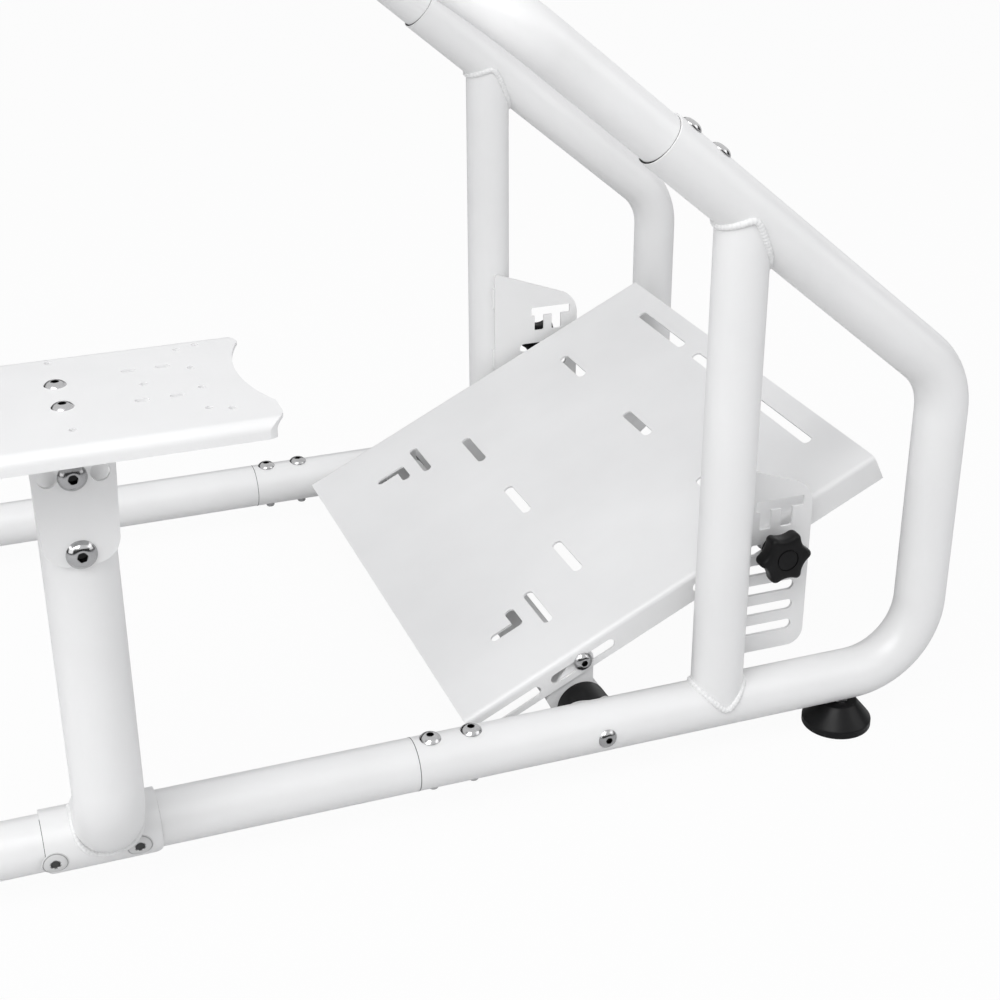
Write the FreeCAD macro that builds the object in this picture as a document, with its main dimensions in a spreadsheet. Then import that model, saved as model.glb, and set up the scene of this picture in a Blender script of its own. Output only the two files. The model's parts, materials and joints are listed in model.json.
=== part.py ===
"""Racing simulator cockpit frame: two bent side loops, a tilting pedal plate, rails and a shifter stand.

Millimetres. +X points forward, to the pedal end, +Y to the driver's left and +Z up. The origin is on
the floor, midway between the two side loops and under their posts.
"""
import FreeCAD, Part
import math
import os
import Sketcher

LEFT = 1
RIGHT = -1
SIDES = (("left", LEFT), ("right", RIGHT))
KNOB_LOBES = 6

# Flat left between the two roundings at the tip of a corner slot.
TIP_FLAT = 0.2

SIZES = (
    ("loop_spacing", 616, "side loop to side loop, centre to centre"),
    ("tube_diameter", 48, "main tube, outside"),
    ("tube_wall", 2, "wall of every tube"),
    ("rail_height", 53, "floor to the axis of the bottom tubes"),
    ("weld_gap", 0.2, "clearance left in every coped or seated joint"),
    ("thread_gap", 0.05, "clearance between a stud and its knob, to the side"),
    ("joint_reach", 296, "post to the rear end of a side loop"),
    ("riser_reach", 213, "post to the riser of a side loop"),
    ("loop_bend", 70, "bend radius of a side loop, to the tube axis"),
    ("slope_angle", 39.5, "slope of the upper tubes from level"),
    ("slope_height", 473, "bottom tube axis to slope axis, at the post"),
    ("sleeve_reach", 101, "slope tube's open end beyond the post, along the slope"),
    ("hoop_insert", 80, "length of the steering hoop inside each slope tube"),
    ("hoop_reach", 300, "steering hoop's cross tube beyond the post, along the slope"),
    ("hoop_bend", 75, "bend radius of the steering hoop"),
    ("rear_reach", 1050, "post to the axis of the rear cross tube"),
    ("rail_tail", 45, "rail behind the axis of the rear cross tube"),
    ("spigot_length", 70, "rail's spigot inside the side loop"),
    ("cap_thickness", 4, "head of a rail end cap"),
    ("cap_depth", 18, "plug of a rail end cap"),
    ("cross_setback", 119.5, "post to the axis of the pedal cross tube"),
    ("tip_trim", 7, "length cut off each pointed tip of a coped cross tube"),
    ("sheet", 3, "thickness of the brackets, tabs and shifter sheets"),
    ("plate_sheet", 2, "thickness of the pedal plate"),
    ("plate_length", 454, "pedal plate along its slope"),
    ("plate_clearance", 8.8, "side bracket to the pedal plate's flange"),
    ("plate_flange", 26.5, "depth of the pedal plate's flanges"),
    ("plate_fold", 5, "outside fold radius of the pedal plate"),
    ("plate_tilt", 26.1, "tilt of the pedal plate from level"),
    ("plate_back", 236, "post to the plate's lower edge"),
    ("plate_drop", 8, "bottom tube axis to the plate's lower edge"),
    ("slot_width", 10, "width of a bolt slot"),
    ("corner_slot_run", 93.8, "lower edge to the cross arm of the corner slots"),
    ("corner_slot_half", 187, "half the distance between the corner slots"),
    ("corner_slot_long", 35, "arm of a corner slot along the plate"),
    ("corner_slot_cross", 31, "arm of a corner slot across the plate"),
    ("heel_slot_run", 118.8, "lower edge to the heel slots"),
    ("heel_slot_half", 182.5, "half the distance between the heel slots"),
    ("heel_slot_length", 60, "length of a heel slot"),
    ("low_row_run", 173, "lower edge to the low row of slots"),
    ("low_row_pitch", 137, "pitch of the low row"),
    ("low_row_length", 62, "length of a slot of the low row"),
    ("mid_row_run", 323.5, "lower edge to the middle row of slots"),
    ("mid_row_pitch", 177, "pitch of the middle row"),
    ("mid_row_length", 61, "length of a slot of the middle row"),
    ("top_row_run", 426, "lower edge to the top row of slots"),
    ("top_row_pitch", 140, "pitch of the top row"),
    ("top_row_length", 111, "length of a slot of the top row"),
    ("flange_slot_depth", 15.5, "top face to the centre line of the flange slots"),
    ("flange_slot_first", 41.3, "lower edge to the middle of the first flange slot"),
    ("flange_slot_pitch", 80.7, "pitch of the first two flange slots"),
    ("flange_slot_length", 69, "length of the first two flange slots"),
    ("clamp_slot_run", 290, "lower edge to the middle of the clamp slot"),
    ("clamp_slot_length", 92, "length of the clamp slot"),
    ("tab_heel", 35, "cross tube axis to the heel of a pivot tab"),
    ("tab_toe_cut", 12, "height of the heel's slanting cut"),
    ("tab_front", 11.5, "pivot bolt to the front edge of its tab"),
    ("tab_back", 6, "pivot bolt to the upper rear corner of its tab"),
    ("tab_flat", 1, "flat left at the top of a tab, on each side of its bolt"),
    ("tab_gap", 0.5, "pivot tab to the flange beside it"),
    ("tab_heel_corner", 2, "radius of a tab's heel"),
    ("bolt_diameter", 8, "shank of the clamp studs and pivot bolts"),
    ("head_diameter", 18, "dome head of a pivot bolt or a clamp stud"),
    ("head_height", 5.5, "dome head of a pivot bolt"),
    ("head_rim", 1, "straight rim under a dome head"),
    ("nut_diameter", 13, "nut of a pivot bolt, as a round"),
    ("nut_height", 6.5, "nut of a pivot bolt"),
    ("bracket_overlap", 2, "side bracket behind the post's axis"),
    ("bracket_reach", 102, "post axis to the front edge of a side bracket"),
    ("bracket_foot", 29.5, "bottom tube axis to the lower edge of a side bracket"),
    ("bracket_peak", 234, "bottom tube axis to the bracket's upper edge, at its rear"),
    ("bracket_brow", 196, "bottom tube axis to the bracket's upper edge, at its front"),
    ("bracket_top_round", 30, "upper front corner radius of a side bracket"),
    ("bracket_low_round", 16, "lower front corner radius of a side bracket"),
    ("bracket_rear_round", 3, "rear corner radius of a side bracket"),
    ("bracket_slot_first", 53, "bottom tube axis to the lowest height slot"),
    ("bracket_slot_pitch", 21.2, "pitch of the height slots"),
    ("bracket_slot_count", 5, "height slots in a side bracket"),
    ("bracket_slot_middle", 59, "post axis to the middle of a height slot"),
    ("bracket_slot_length", 59, "length of a height slot"),
    ("bracket_slot_height", 10.5, "height of a height slot"),
    ("comb_floor", 176.5, "bottom tube axis to the comb channel's floor"),
    ("comb_ceiling", 187, "bottom tube axis to the comb channel's ceiling"),
    ("comb_bottom", 158, "bottom tube axis to the bottom of a comb notch"),
    ("comb_rear", 44, "post axis to the rear end of the comb channel"),
    ("comb_front", 93, "post axis to the front end of the comb channel"),
    ("comb_notch", 54, "post axis to the middle of the first comb notch"),
    ("comb_pitch", 21.8, "pitch of the comb notches"),
    ("comb_width", 12, "width of a comb notch"),
    ("comb_round", 2, "corner radius of the comb channel and its notches"),
    ("knob_peak", 55.5, "star knob across the points of opposite lobes, before rounding"),
    ("knob_valley", 36, "star knob across the middles of opposite hollows, before rounding"),
    ("knob_tip", 4, "radius at the tip of a lobe"),
    ("knob_hollow", 20, "radius of the hollow between two lobes"),
    ("knob_bevel", 1.5, "bevel round the face of the lobed head"),
    ("knob_height", 17, "thickness of the lobed head"),
    ("knob_bore_spare", 0.5, "knob's bore beyond the tip of the stud"),
    ("knob_collar", 11, "collar between the lobed head and the bracket"),
    ("knob_collar_diameter", 26, "collar diameter"),
    ("knob_cap_diameter", 20, "round cap let into the knob's face"),
    ("knob_cap_groove", 1, "width and depth of the groove round that cap"),
    ("foot_setforward", 133, "post to the front feet"),
    ("foot_diameter", 66, "base of a levelling foot"),
    ("foot_base", 7.5, "straight edge of a foot's base"),
    ("foot_shoulder", 2.5, "radius between that edge and the cone"),
    ("foot_rounding", 1.5, "radius at the bottom and the top of a foot"),
    ("foot_height", 26, "height of the moulded foot"),
    ("foot_neck", 36, "diameter of a foot at its top"),
    ("foot_stud", 10, "stud of a levelling foot"),
    ("foot_nut", 17, "nut between a foot and its tube, as a round"),
    ("foot_stud_insert", 14, "stud inside the tube"),
    ("rear_foot_gap", 65, "axis of the rear cross tube to the rear feet"),
    ("shifter_setback", 564.5, "post to the axis of the shifter post"),
    ("shifter_outset", 56.5, "rail axis to the axis of the shifter post"),
    ("shifter_tube", 56, "shifter post, outside"),
    ("shifter_bend", 60, "bend radius of the shifter post's foot"),
    ("shifter_rise", 22, "rail axis to the axis of the shifter post's foot"),
    ("saddle_wall", 3, "wall of the saddle sleeve"),
    ("saddle_length", 95, "length of the half sleeve on the rail"),
    ("saddle_shift", 5, "half sleeve's offset to the rear of the post"),
    ("saddle_tuck", 60, "angle below level where the half sleeve ends, outside the rail"),
    ("saddle_corner", 14, "radius of the half sleeve's lower corners"),
    ("shelf_height", 412, "rail axis to the top of the shifter plate"),
    ("shelf_length", 281, "shifter plate along the rail"),
    ("shelf_width", 178, "shifter plate across its flanges"),
    ("shelf_flange", 13.5, "depth of the shifter plate's flanges"),
    ("shelf_fold", 8, "outside fold radius of the shifter plate"),
    ("shelf_outset", 9.5, "shifter plate's middle outside the post's axis"),
    ("shelf_corner", 19, "corner radius of the shifter plate"),
    ("shelf_corner_lead", 1, "how far outside the flanges that rounding starts"),
    ("shelf_bay", 146, "radius of the hollow in each end of the shifter plate"),
    ("shelf_bay_depth", 14, "depth of that hollow"),
    ("shelf_hole", 5.5, "bolt hole in the shifter plate"),
    ("shelf_hole_slot", 11, "length of a slotted hole in the shifter plate"),
    ("tongue_width", 63, "shifter bracket at its top"),
    ("tongue_foot_width", 54, "shifter bracket at its foot"),
    ("tongue_length", 117, "shifter bracket below the plate"),
    ("tongue_round", 20, "corner radius at the bracket's foot"),
    ("tongue_ledge", 62, "bracket's ledge under the plate"),
    ("tongue_fold", 6, "outside fold radius of the shifter bracket"),
    ("tongue_hole", 14, "round hole in the shifter bracket"),
    ("tongue_hole_drop", 46, "bracket's top to the row of round holes"),
    ("tongue_hole_pitch", 18.5, "pitch of the round holes"),
    ("tongue_pivot_drop", 108, "bracket's top to its pivot bolt"),
    ("post_top_drop", 6, "shifter bracket's ledge to the top of the post"),
)


class Dim:
    """A length together with the sheet expression that gives it."""

    def __init__(self, value, text):
        self.value = float(value)
        self.text = text

    def __add__(self, other):
        return Dim(self.value + dim(other).value, "(%s + %s)" % (self.text, dim(other).text))

    def __sub__(self, other):
        return Dim(self.value - dim(other).value, "(%s - %s)" % (self.text, dim(other).text))

    def __mul__(self, other):
        return Dim(self.value * dim(other).value, "(%s * %s)" % (self.text, dim(other).text))

    def __truediv__(self, other):
        return Dim(self.value / dim(other).value, "(%s / %s)" % (self.text, dim(other).text))

    def __neg__(self):
        return Dim(-self.value, "(-1 * %s)" % self.text)


def dim(number):
    """A plain number as a Dim, or the Dim itself."""
    if isinstance(number, Dim):
        return number
    return Dim(number, "(%s)" % repr(number))


def cosine(angle):
    return Dim(math.cos(math.radians(angle.value)), "cos(%s)" % angle.text)


def sine(angle):
    return Dim(math.sin(math.radians(angle.value)), "sin(%s)" % angle.text)


def tangent(angle):
    return Dim(math.tan(math.radians(angle.value)), "tan(%s)" % angle.text)


doc = FreeCAD.newDocument("cockpit")
sheet = doc.addObject("Spreadsheet::Sheet", "Sizes")
for row, (alias, number, meaning) in enumerate(SIZES, start=1):
    sheet.set("A%d" % row, meaning)
    sheet.set("B%d" % row, str(number))
    sheet.setAlias("B%d" % row, alias)
doc.recompute()


def size(alias):
    """A driving dimension of the sheet."""
    return Dim(sheet.get(alias), "Sizes." + alias)


def bind(item, path, length):
    """Ties one property of an object to an expression."""
    item.setExpression(path, dim(length).text)


# Bodies, planes and sketches

def new_body(label, x=0, y=0, z=0, tilt=None):
    """A body named after its node, at a place given by the sheet and tilted about Y."""
    body = doc.addObject("PartDesign::Body", label)
    body.Label = label
    body.Placement = FreeCAD.Placement(
        FreeCAD.Vector(dim(x).value, dim(y).value, dim(z).value),
        FreeCAD.Rotation(FreeCAD.Vector(0, 1, 0), dim(tilt).value if tilt else 0),
    )
    bind(body, "Placement.Base.x", x)
    bind(body, "Placement.Base.y", y)
    bind(body, "Placement.Base.z", z)
    if tilt:
        bind(body, "Placement.Rotation.Angle", tilt)
    return body


def new_sketch(body, role, offset=0):
    """A sketch on one of the body's own origin planes, moved along that plane's normal."""
    sketch = body.newObject("Sketcher::SketchObject", body.Name + "_sketch")
    plane = [item for item in body.Origin.OriginFeatures if item.Role == role][0]
    sketch.AttachmentSupport = (plane, [""])
    sketch.MapMode = "FlatFace"
    bind(sketch, "AttachmentOffset.Base.z", offset)
    sketch.recompute()
    return sketch


def hold(sketch, kind, length, *ends):
    """A dimension of a sketch, tied to its expression."""
    index = sketch.addConstraint(Sketcher.Constraint(kind, *ends, dim(length).value))
    bind(sketch, "Constraints[%d]" % index, length)


def hold_point(sketch, shape, end, x, y):
    """Holds a point of a sketch at a place measured from the sketch's origin."""
    hold(sketch, "DistanceX", x, -1, 1, shape, end)
    hold(sketch, "DistanceY", y, -1, 1, shape, end)


def flat(x, y):
    return FreeCAD.Vector(dim(x).value, dim(y).value, 0)


def draw_circle(sketch, x, y, diameter):
    circle = Part.Circle(flat(x, y), FreeCAD.Vector(0, 0, 1), dim(diameter).value / 2)
    shape = sketch.addGeometry(circle, False)
    hold(sketch, "Diameter", diameter, shape)
    hold_point(sketch, shape, 3, x, y)


def draw_ring(sketch, x, y, diameter, wall):
    draw_circle(sketch, x, y, diameter)
    draw_circle(sketch, x, y, dim(diameter) - dim(wall) * 2)


def draw_arc(sketch, centre, radius, begin, end):
    """An arc from one angle to another, anticlockwise."""
    circle = Part.Circle(centre, FreeCAD.Vector(0, 0, 1), radius)
    return sketch.addGeometry(Part.ArcOfCircle(circle, begin, end), False)


def draw_slot(sketch, x, y, length, width, upright=False):
    """A slot with round ends, centred on a point."""
    x, y, length, width = dim(x), dim(y), dim(length), dim(width)
    half = (length - width) / 2
    reach = (dim(0), half) if upright else (half, dim(0))
    low = (x - reach[0], y - reach[1])
    high = (x + reach[0], y + reach[1])
    radius = width.value / 2
    turn = math.pi / 2 if upright else 0
    side = FreeCAD.Vector(math.sin(turn), -math.cos(turn), 0) * radius
    far = draw_arc(sketch, flat(*high), radius, turn - math.pi / 2, turn + math.pi / 2)
    near = draw_arc(sketch, flat(*low), radius, turn + math.pi / 2, turn + math.pi * 3 / 2)
    first = sketch.addGeometry(Part.LineSegment(flat(*low) + side, flat(*high) + side), False)
    second = sketch.addGeometry(Part.LineSegment(flat(*high) - side, flat(*low) - side), False)
    ring = (first, far, second, near)
    for index, shape in enumerate(ring):
        sketch.addConstraint(Sketcher.Constraint("Tangent", shape, 2, ring[(index + 1) % 4], 1))
    hold(sketch, "Radius", width / 2, far)
    hold(sketch, "Radius", width / 2, near)
    hold_point(sketch, far, 3, *high)
    hold_point(sketch, near, 3, *low)


def corner_arc(before, corner, after, radius):
    """Where a rounding of this radius leaves the two lines of a corner, and its centre and sense."""
    arrive = (corner - before).normalize()
    leave = (after - corner).normalize()
    cross = arrive.x * leave.y - arrive.y * leave.x
    turn = math.atan2(cross, arrive.dot(leave))
    trim = radius * math.tan(abs(turn) / 2)
    sense = 1 if turn > 0 else -1
    start = corner - arrive * trim
    centre = start + FreeCAD.Vector(-arrive.y, arrive.x, 0) * (radius * sense)
    return start, corner + leave * trim, centre, sense


def draw_run(sketch, corners, closed):
    """Straight lines through corners (x, y, rounding), each rounding tangent to its two lines."""
    points = [flat(x, y) for x, y, rounding in corners]
    count = len(points)
    starts = list(points)
    ends = list(points)
    arcs = {}
    for index, (x, y, rounding) in enumerate(corners):
        if rounding is None:
            continue
        before = points[index - 1]
        after = points[(index + 1) % count]
        start, end, centre, sense = corner_arc(before, points[index], after, dim(rounding).value)
        begin = math.atan2(start.y - centre.y, start.x - centre.x)
        finish = math.atan2(end.y - centre.y, end.x - centre.x)
        if sense < 0:
            begin, finish = finish, begin
        if finish < begin:
            finish += math.pi * 2
        arcs[index] = (draw_arc(sketch, centre, dim(rounding).value, begin, finish), sense)
        starts[index] = end
        ends[index] = start
    lines = {}
    for index in range(count if closed else count - 1):
        after = (index + 1) % count
        lines[index] = sketch.addGeometry(Part.LineSegment(starts[index], ends[after]), False)
    for index, (x, y, rounding) in enumerate(corners):
        before = (index - 1) % count
        if index in arcs:
            arc, sense = arcs[index]
            arrive, leave = (1, 2) if sense > 0 else (2, 1)
            sketch.addConstraint(Sketcher.Constraint("Tangent", lines[before], 2, arc, arrive))
            sketch.addConstraint(Sketcher.Constraint("Tangent", arc, leave, lines[index], 1))
            hold(sketch, "Radius", rounding, arc)
            apex = sketch.addGeometry(Part.Point(points[index]), True)
            hold_point(sketch, apex, 1, x, y)
            sketch.addConstraint(Sketcher.Constraint("PointOnObject", apex, 1, lines[before]))
            sketch.addConstraint(Sketcher.Constraint("PointOnObject", apex, 1, lines[index]))
        else:
            if before in lines and index in lines:
                sketch.addConstraint(Sketcher.Constraint("Coincident", lines[before], 2, lines[index], 1))
            shape, end = (lines[index], 1) if index in lines else (lines[before], 2)
            hold_point(sketch, shape, end, x, y)
    return [lines[index] for index in sorted(lines)]


def draw_box(sketch, low_x, high_x, low_y, high_y):
    corners = ((low_x, low_y, None), (high_x, low_y, None), (high_x, high_y, None), (low_x, high_y, None))
    draw_run(sketch, corners, True)


# Features

def pad(body, sketch, length, symmetric=False, backwards=False):
    feature = body.newObject("PartDesign::Pad", body.Name + "_pad")
    feature.Profile = sketch
    bind(feature, "Length", length)
    feature.Midplane = symmetric
    feature.Reversed = backwards
    return feature


def cut_through(body, sketch):
    """Cuts a sketch's shape right through the body, both ways."""
    feature = body.newObject("PartDesign::Pocket", body.Name + "_cut")
    feature.Profile = sketch
    feature.Type = "ThroughAll"
    feature.Midplane = True
    return feature


def cut_depth(body, sketch, depth, backwards=False):
    feature = body.newObject("PartDesign::Pocket", body.Name + "_cut")
    feature.Profile = sketch
    bind(feature, "Length", depth)
    feature.Reversed = backwards
    return feature


def sweep(body, profile, path):
    """A tube's ring carried along a path of lines and arcs."""
    feature = body.newObject("PartDesign::AdditivePipe", body.Name + "_sweep")
    feature.Profile = profile
    count = len([shape for index, shape in enumerate(path.Geometry) if not path.getConstruction(index)])
    feature.Spine = (path, ["Edge%d" % (index + 1) for index in range(count)])
    return feature


def revolve(body, sketch, axis):
    """Turns a sketch's shape once round one of the sketch's own axes."""
    feature = body.newObject("PartDesign::Revolution", body.Name + "_turn")
    feature.Profile = sketch
    feature.ReferenceAxis = (sketch, [axis])
    feature.Angle = 360
    return feature


def cope(body, x, z, diameter):
    """Hollows a piece that meets a tube lying along Y, at a place beside the body's origin."""
    sketch = new_sketch(body, "XZ_Plane")
    draw_circle(sketch, x, z, dim(diameter) + size("weld_gap") * 2)
    cut_through(body, sketch)


def cope_along_x(body, y, z, diameter):
    """Hollows a piece that meets a tube lying along X."""
    sketch = new_sketch(body, "YZ_Plane")
    draw_circle(sketch, y, z, dim(diameter) + size("weld_gap") * 2)
    cut_through(body, sketch)


# Side loops and posts

def slope_drop():
    """How far the slope falls from the post to the riser."""
    return size("riser_reach") * tangent(size("slope_angle"))


def make_side_loop(name, side):
    """One bent tube: bottom tube, front bend, riser, upper bend and slope."""
    body = new_body(name + "_side_loop", y=size("loop_spacing") / 2 * side, z=size("rail_height"))
    path = new_sketch(body, "XZ_Plane")
    slope = size("slope_angle")
    end_x = -size("sleeve_reach") * cosine(slope)
    end_z = size("slope_height") + size("sleeve_reach") * sine(slope)
    draw_run(path, (
        (-size("joint_reach"), 0, None),
        (size("riser_reach"), 0, size("loop_bend")),
        (size("riser_reach"), size("slope_height") - slope_drop(), size("loop_bend")),
        (end_x, end_z, None),
    ), False)
    ring = new_sketch(body, "YZ_Plane", -size("joint_reach"))
    draw_ring(ring, 0, 0, size("tube_diameter"), size("tube_wall"))
    sweep(body, ring, path)
    bore = new_sketch(body, "XY_Plane")
    draw_circle(bore, size("foot_setforward"), 0, size("foot_stud") + size("weld_gap") * 2)
    cut_depth(body, bore, size("tube_diameter"))
    return body


def make_post(name, side):
    """Upright tube, coped onto the bottom tube and under the slope tube."""
    body = new_body(name + "_post", y=size("loop_spacing") / 2 * side, z=size("rail_height"))
    ring = new_sketch(body, "XY_Plane")
    draw_ring(ring, 0, 0, size("tube_diameter"), size("tube_wall"))
    pad(body, ring, size("slope_height") + size("tube_diameter"))
    cope_along_x(body, 0, 0, size("tube_diameter"))
    saddle = new_sketch(body, "YZ_Plane")
    saddle.AttachmentOffset = FreeCAD.Placement(
        FreeCAD.Vector(0, size("slope_height").value, 0),
        FreeCAD.Rotation(FreeCAD.Vector(1, 0, 0), size("slope_angle").value),
    )
    bind(saddle, "AttachmentOffset.Base.y", size("slope_height"))
    bind(saddle, "AttachmentOffset.Rotation.Angle", size("slope_angle"))
    width = size("tube_diameter") + size("weld_gap") * 2
    length = size("tube_diameter") * 4
    draw_slot(saddle, 0, (length - width) / 2, length, width, upright=True)
    cut_through(body, saddle)
    return body


def make_hoop():
    """Steering hoop: one bent tube whose two legs slide into the slope tubes."""
    body = new_body("steering_hoop", z=size("rail_height") + size("slope_height"), tilt=size("slope_angle"))
    half = size("loop_spacing") / 2
    start = -(size("sleeve_reach") - size("hoop_insert"))
    path = new_sketch(body, "XY_Plane")
    draw_run(path, (
        (start, -half, None),
        (-size("hoop_reach"), -half, size("hoop_bend")),
        (-size("hoop_reach"), half, size("hoop_bend")),
        (start, half, None),
    ), False)
    ring = new_sketch(body, "YZ_Plane", start)
    bore = size("tube_diameter") - size("tube_wall") * 2
    draw_ring(ring, -half, 0, bore - size("weld_gap") * 2, size("tube_wall"))
    sweep(body, ring, path)
    return body


# Rails and cross tubes

def rear_foot_place():
    return -(size("rear_reach") - size("rear_foot_gap"))


def make_rail(name, side):
    """Rear rail with the spigot that slides into its side loop."""
    body = new_body(name + "_rail", y=size("loop_spacing") / 2 * side, z=size("rail_height"))
    end = size("joint_reach") + size("weld_gap")
    ring = new_sketch(body, "YZ_Plane", -end)
    draw_ring(ring, 0, 0, size("tube_diameter"), size("tube_wall"))
    pad(body, ring, size("rear_reach") + size("rail_tail") - end, backwards=True)
    bore = size("tube_diameter") - size("tube_wall") * 2
    spigot = new_sketch(body, "YZ_Plane", -end - size("spigot_length"))
    draw_ring(spigot, 0, 0, bore - size("weld_gap") * 2, size("tube_wall"))
    pad(body, spigot, size("spigot_length") * 2)
    web = new_sketch(body, "YZ_Plane", -end - size("spigot_length"))
    lap = size("tube_wall") / 2
    draw_ring(web, 0, 0, bore + lap * 2, size("tube_wall") + lap)
    pad(body, web, size("spigot_length") / 2)
    bore_hole = new_sketch(body, "XY_Plane")
    draw_circle(bore_hole, rear_foot_place(), 0, size("foot_stud") + size("weld_gap") * 2)
    cut_depth(body, bore_hole, size("tube_diameter"))
    return body


def make_end_cap(name, side):
    """Plastic cap that closes the rear end of a rail."""
    place = -(size("rear_reach") + size("rail_tail") + size("weld_gap"))
    body = new_body(name + "_rail_cap", x=place, y=size("loop_spacing") / 2 * side, z=size("rail_height"))
    rim = size("tube_diameter") / 2
    plug = rim - size("tube_wall") - size("weld_gap")
    outline = new_sketch(body, "XZ_Plane")
    draw_run(outline, (
        (-size("cap_thickness"), 0, None),
        (-size("cap_thickness"), rim, size("cap_thickness") / 2),
        (0, rim, None),
        (0, plug, None),
        (size("cap_depth"), plug, None),
        (size("cap_depth"), plug - size("tube_wall"), None),
        (0, plug - size("tube_wall"), None),
        (0, 0, None),
    ), True)
    revolve(body, outline, "H_Axis")
    return body


def make_cross_tube(label, setback):
    """Tube from loop to loop, coped onto the bottom tubes at both ends."""
    body = new_body(label, x=-setback, z=size("rail_height"))
    ring = new_sketch(body, "XZ_Plane")
    draw_ring(ring, 0, 0, size("tube_diameter"), size("tube_wall"))
    pad(body, ring, size("loop_spacing") - size("tip_trim") * 2, symmetric=True)
    for side in (LEFT, RIGHT):
        cope_along_x(body, size("loop_spacing") / 2 * side, 0, size("tube_diameter"))
    return body


# Pedal plate and what carries it

def bracket_face(side):
    """Outer face of a side bracket, welded to the inside of its post."""
    return (size("loop_spacing") / 2 - size("tube_diameter") / 2 - size("weld_gap")) * side


def plate_half():
    """Middle of the pedal plate to the outer face of a flange."""
    return bracket_face(LEFT) - size("sheet") - size("plate_clearance")


def plate_run(run, depth):
    """A place on the pedal plate's side, from the cockpit's origin, as x and height above the rail axis."""
    tilt = size("plate_tilt")
    run, depth = dim(run), dim(depth)
    x = run * cosine(tilt) + depth * sine(tilt) - size("plate_back")
    z = run * sine(tilt) - depth * cosine(tilt) + size("plate_drop")
    return x, z


def cut_slots_across(body, run, places, length):
    """Slots that run across the plate, at one distance from its lower edge."""
    sketch = new_sketch(body, "XY_Plane")
    for y in places:
        draw_slot(sketch, run, y, length, size("slot_width"), upright=True)
    cut_through(body, sketch)


def row_places(name):
    pitch = size(name + "_pitch")
    return (-pitch, 0, pitch)


def cut_corner_slots(body):
    """L-shaped slots near the lower corners, each with an arm along and an arm across the plate."""
    half = size("slot_width") / 2
    tip = half - TIP_FLAT / 2
    run = size("corner_slot_run")
    for side in (LEFT, RIGHT):
        sketch = new_sketch(body, "XY_Plane")
        middle = size("corner_slot_half") * side
        outer = middle + half * side
        inner = middle - half * side
        end = outer - size("corner_slot_cross") * side
        low = run + half - size("corner_slot_long")
        corners = [
            (low, outer, tip), (run + half, outer, half), (run + half, end, tip),
            (run - half, end, tip), (run - half, inner, None), (low, inner, tip),
        ]
        draw_run(sketch, corners, True)
        cut_through(body, sketch)


def make_pedal_plate():
    """Sheet folded down along both sides, with bolt slots in its top and its flanges."""
    body = new_body(
        "pedal_plate",
        x=-size("plate_back"),
        z=size("rail_height") + size("plate_drop"),
        tilt=-size("plate_tilt"),
    )
    half = plate_half()
    wall = size("plate_sheet")
    fold = size("plate_fold")
    section = new_sketch(body, "YZ_Plane")
    draw_run(section, (
        (-half, -size("plate_flange"), None),
        (-half + wall, -size("plate_flange"), None),
        (-half + wall, -wall, fold - wall),
        (half - wall, -wall, fold - wall),
        (half - wall, -size("plate_flange"), None),
        (half, -size("plate_flange"), None),
        (half, 0, fold),
        (-half, 0, fold),
    ), True)
    pad(body, section, size("plate_length"))
    heel = size("heel_slot_half")
    cut_slots_across(body, size("heel_slot_run"), (-heel, heel), size("heel_slot_length"))
    for row in ("low_row", "mid_row", "top_row"):
        cut_slots_across(body, size(row + "_run"), row_places(row), size(row + "_length"))
    cut_corner_slots(body)
    sides = new_sketch(body, "XZ_Plane")
    depth = -size("flange_slot_depth")
    first = size("flange_slot_first")
    for run in (first, first + size("flange_slot_pitch")):
        draw_slot(sides, run, depth, size("flange_slot_length"), size("slot_width"))
    draw_slot(sides, size("clamp_slot_run"), depth, size("clamp_slot_length"), size("slot_width"))
    cut_through(body, sides)
    return body


def tab_middle(side):
    """The middle of a pivot tab's thickness, just inside the plate's flange."""
    return (plate_half() - size("plate_sheet") - size("tab_gap") - size("sheet") / 2) * side


def pivot_place():
    return plate_run(size("flange_slot_first") + size("flange_slot_pitch"), size("flange_slot_depth"))


def make_pivot_tab(name, side):
    """Upright sheet that leans back over the pedal cross tube and carries the plate's pivot bolt."""
    body = new_body(name + "_pivot_tab", x=-size("cross_setback"), y=tab_middle(side), z=size("rail_height"))
    pivot_x, pivot_z = pivot_place()
    pivot_x = pivot_x + size("cross_setback")
    front = pivot_x + size("tab_front")
    top = size("flange_slot_depth") - size("plate_fold")
    corner = top - size("tab_flat")
    face = new_sketch(body, "XZ_Plane")
    draw_run(face, (
        (-size("tab_heel") + size("tab_toe_cut") / 2, 0, None),
        (front, 0, None),
        (front, pivot_z + top, corner),
        (pivot_x - size("tab_back"), pivot_z + top, corner),
        (-size("tab_heel"), size("tab_toe_cut"), size("tab_heel_corner")),
    ), True)
    pad(body, face, size("sheet"), symmetric=True)
    cope(body, 0, 0, size("tube_diameter"))
    hole = new_sketch(body, "XZ_Plane")
    draw_circle(hole, pivot_x, pivot_z, size("bolt_diameter") + size("weld_gap") * 2)
    cut_through(body, hole)
    return body


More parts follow.
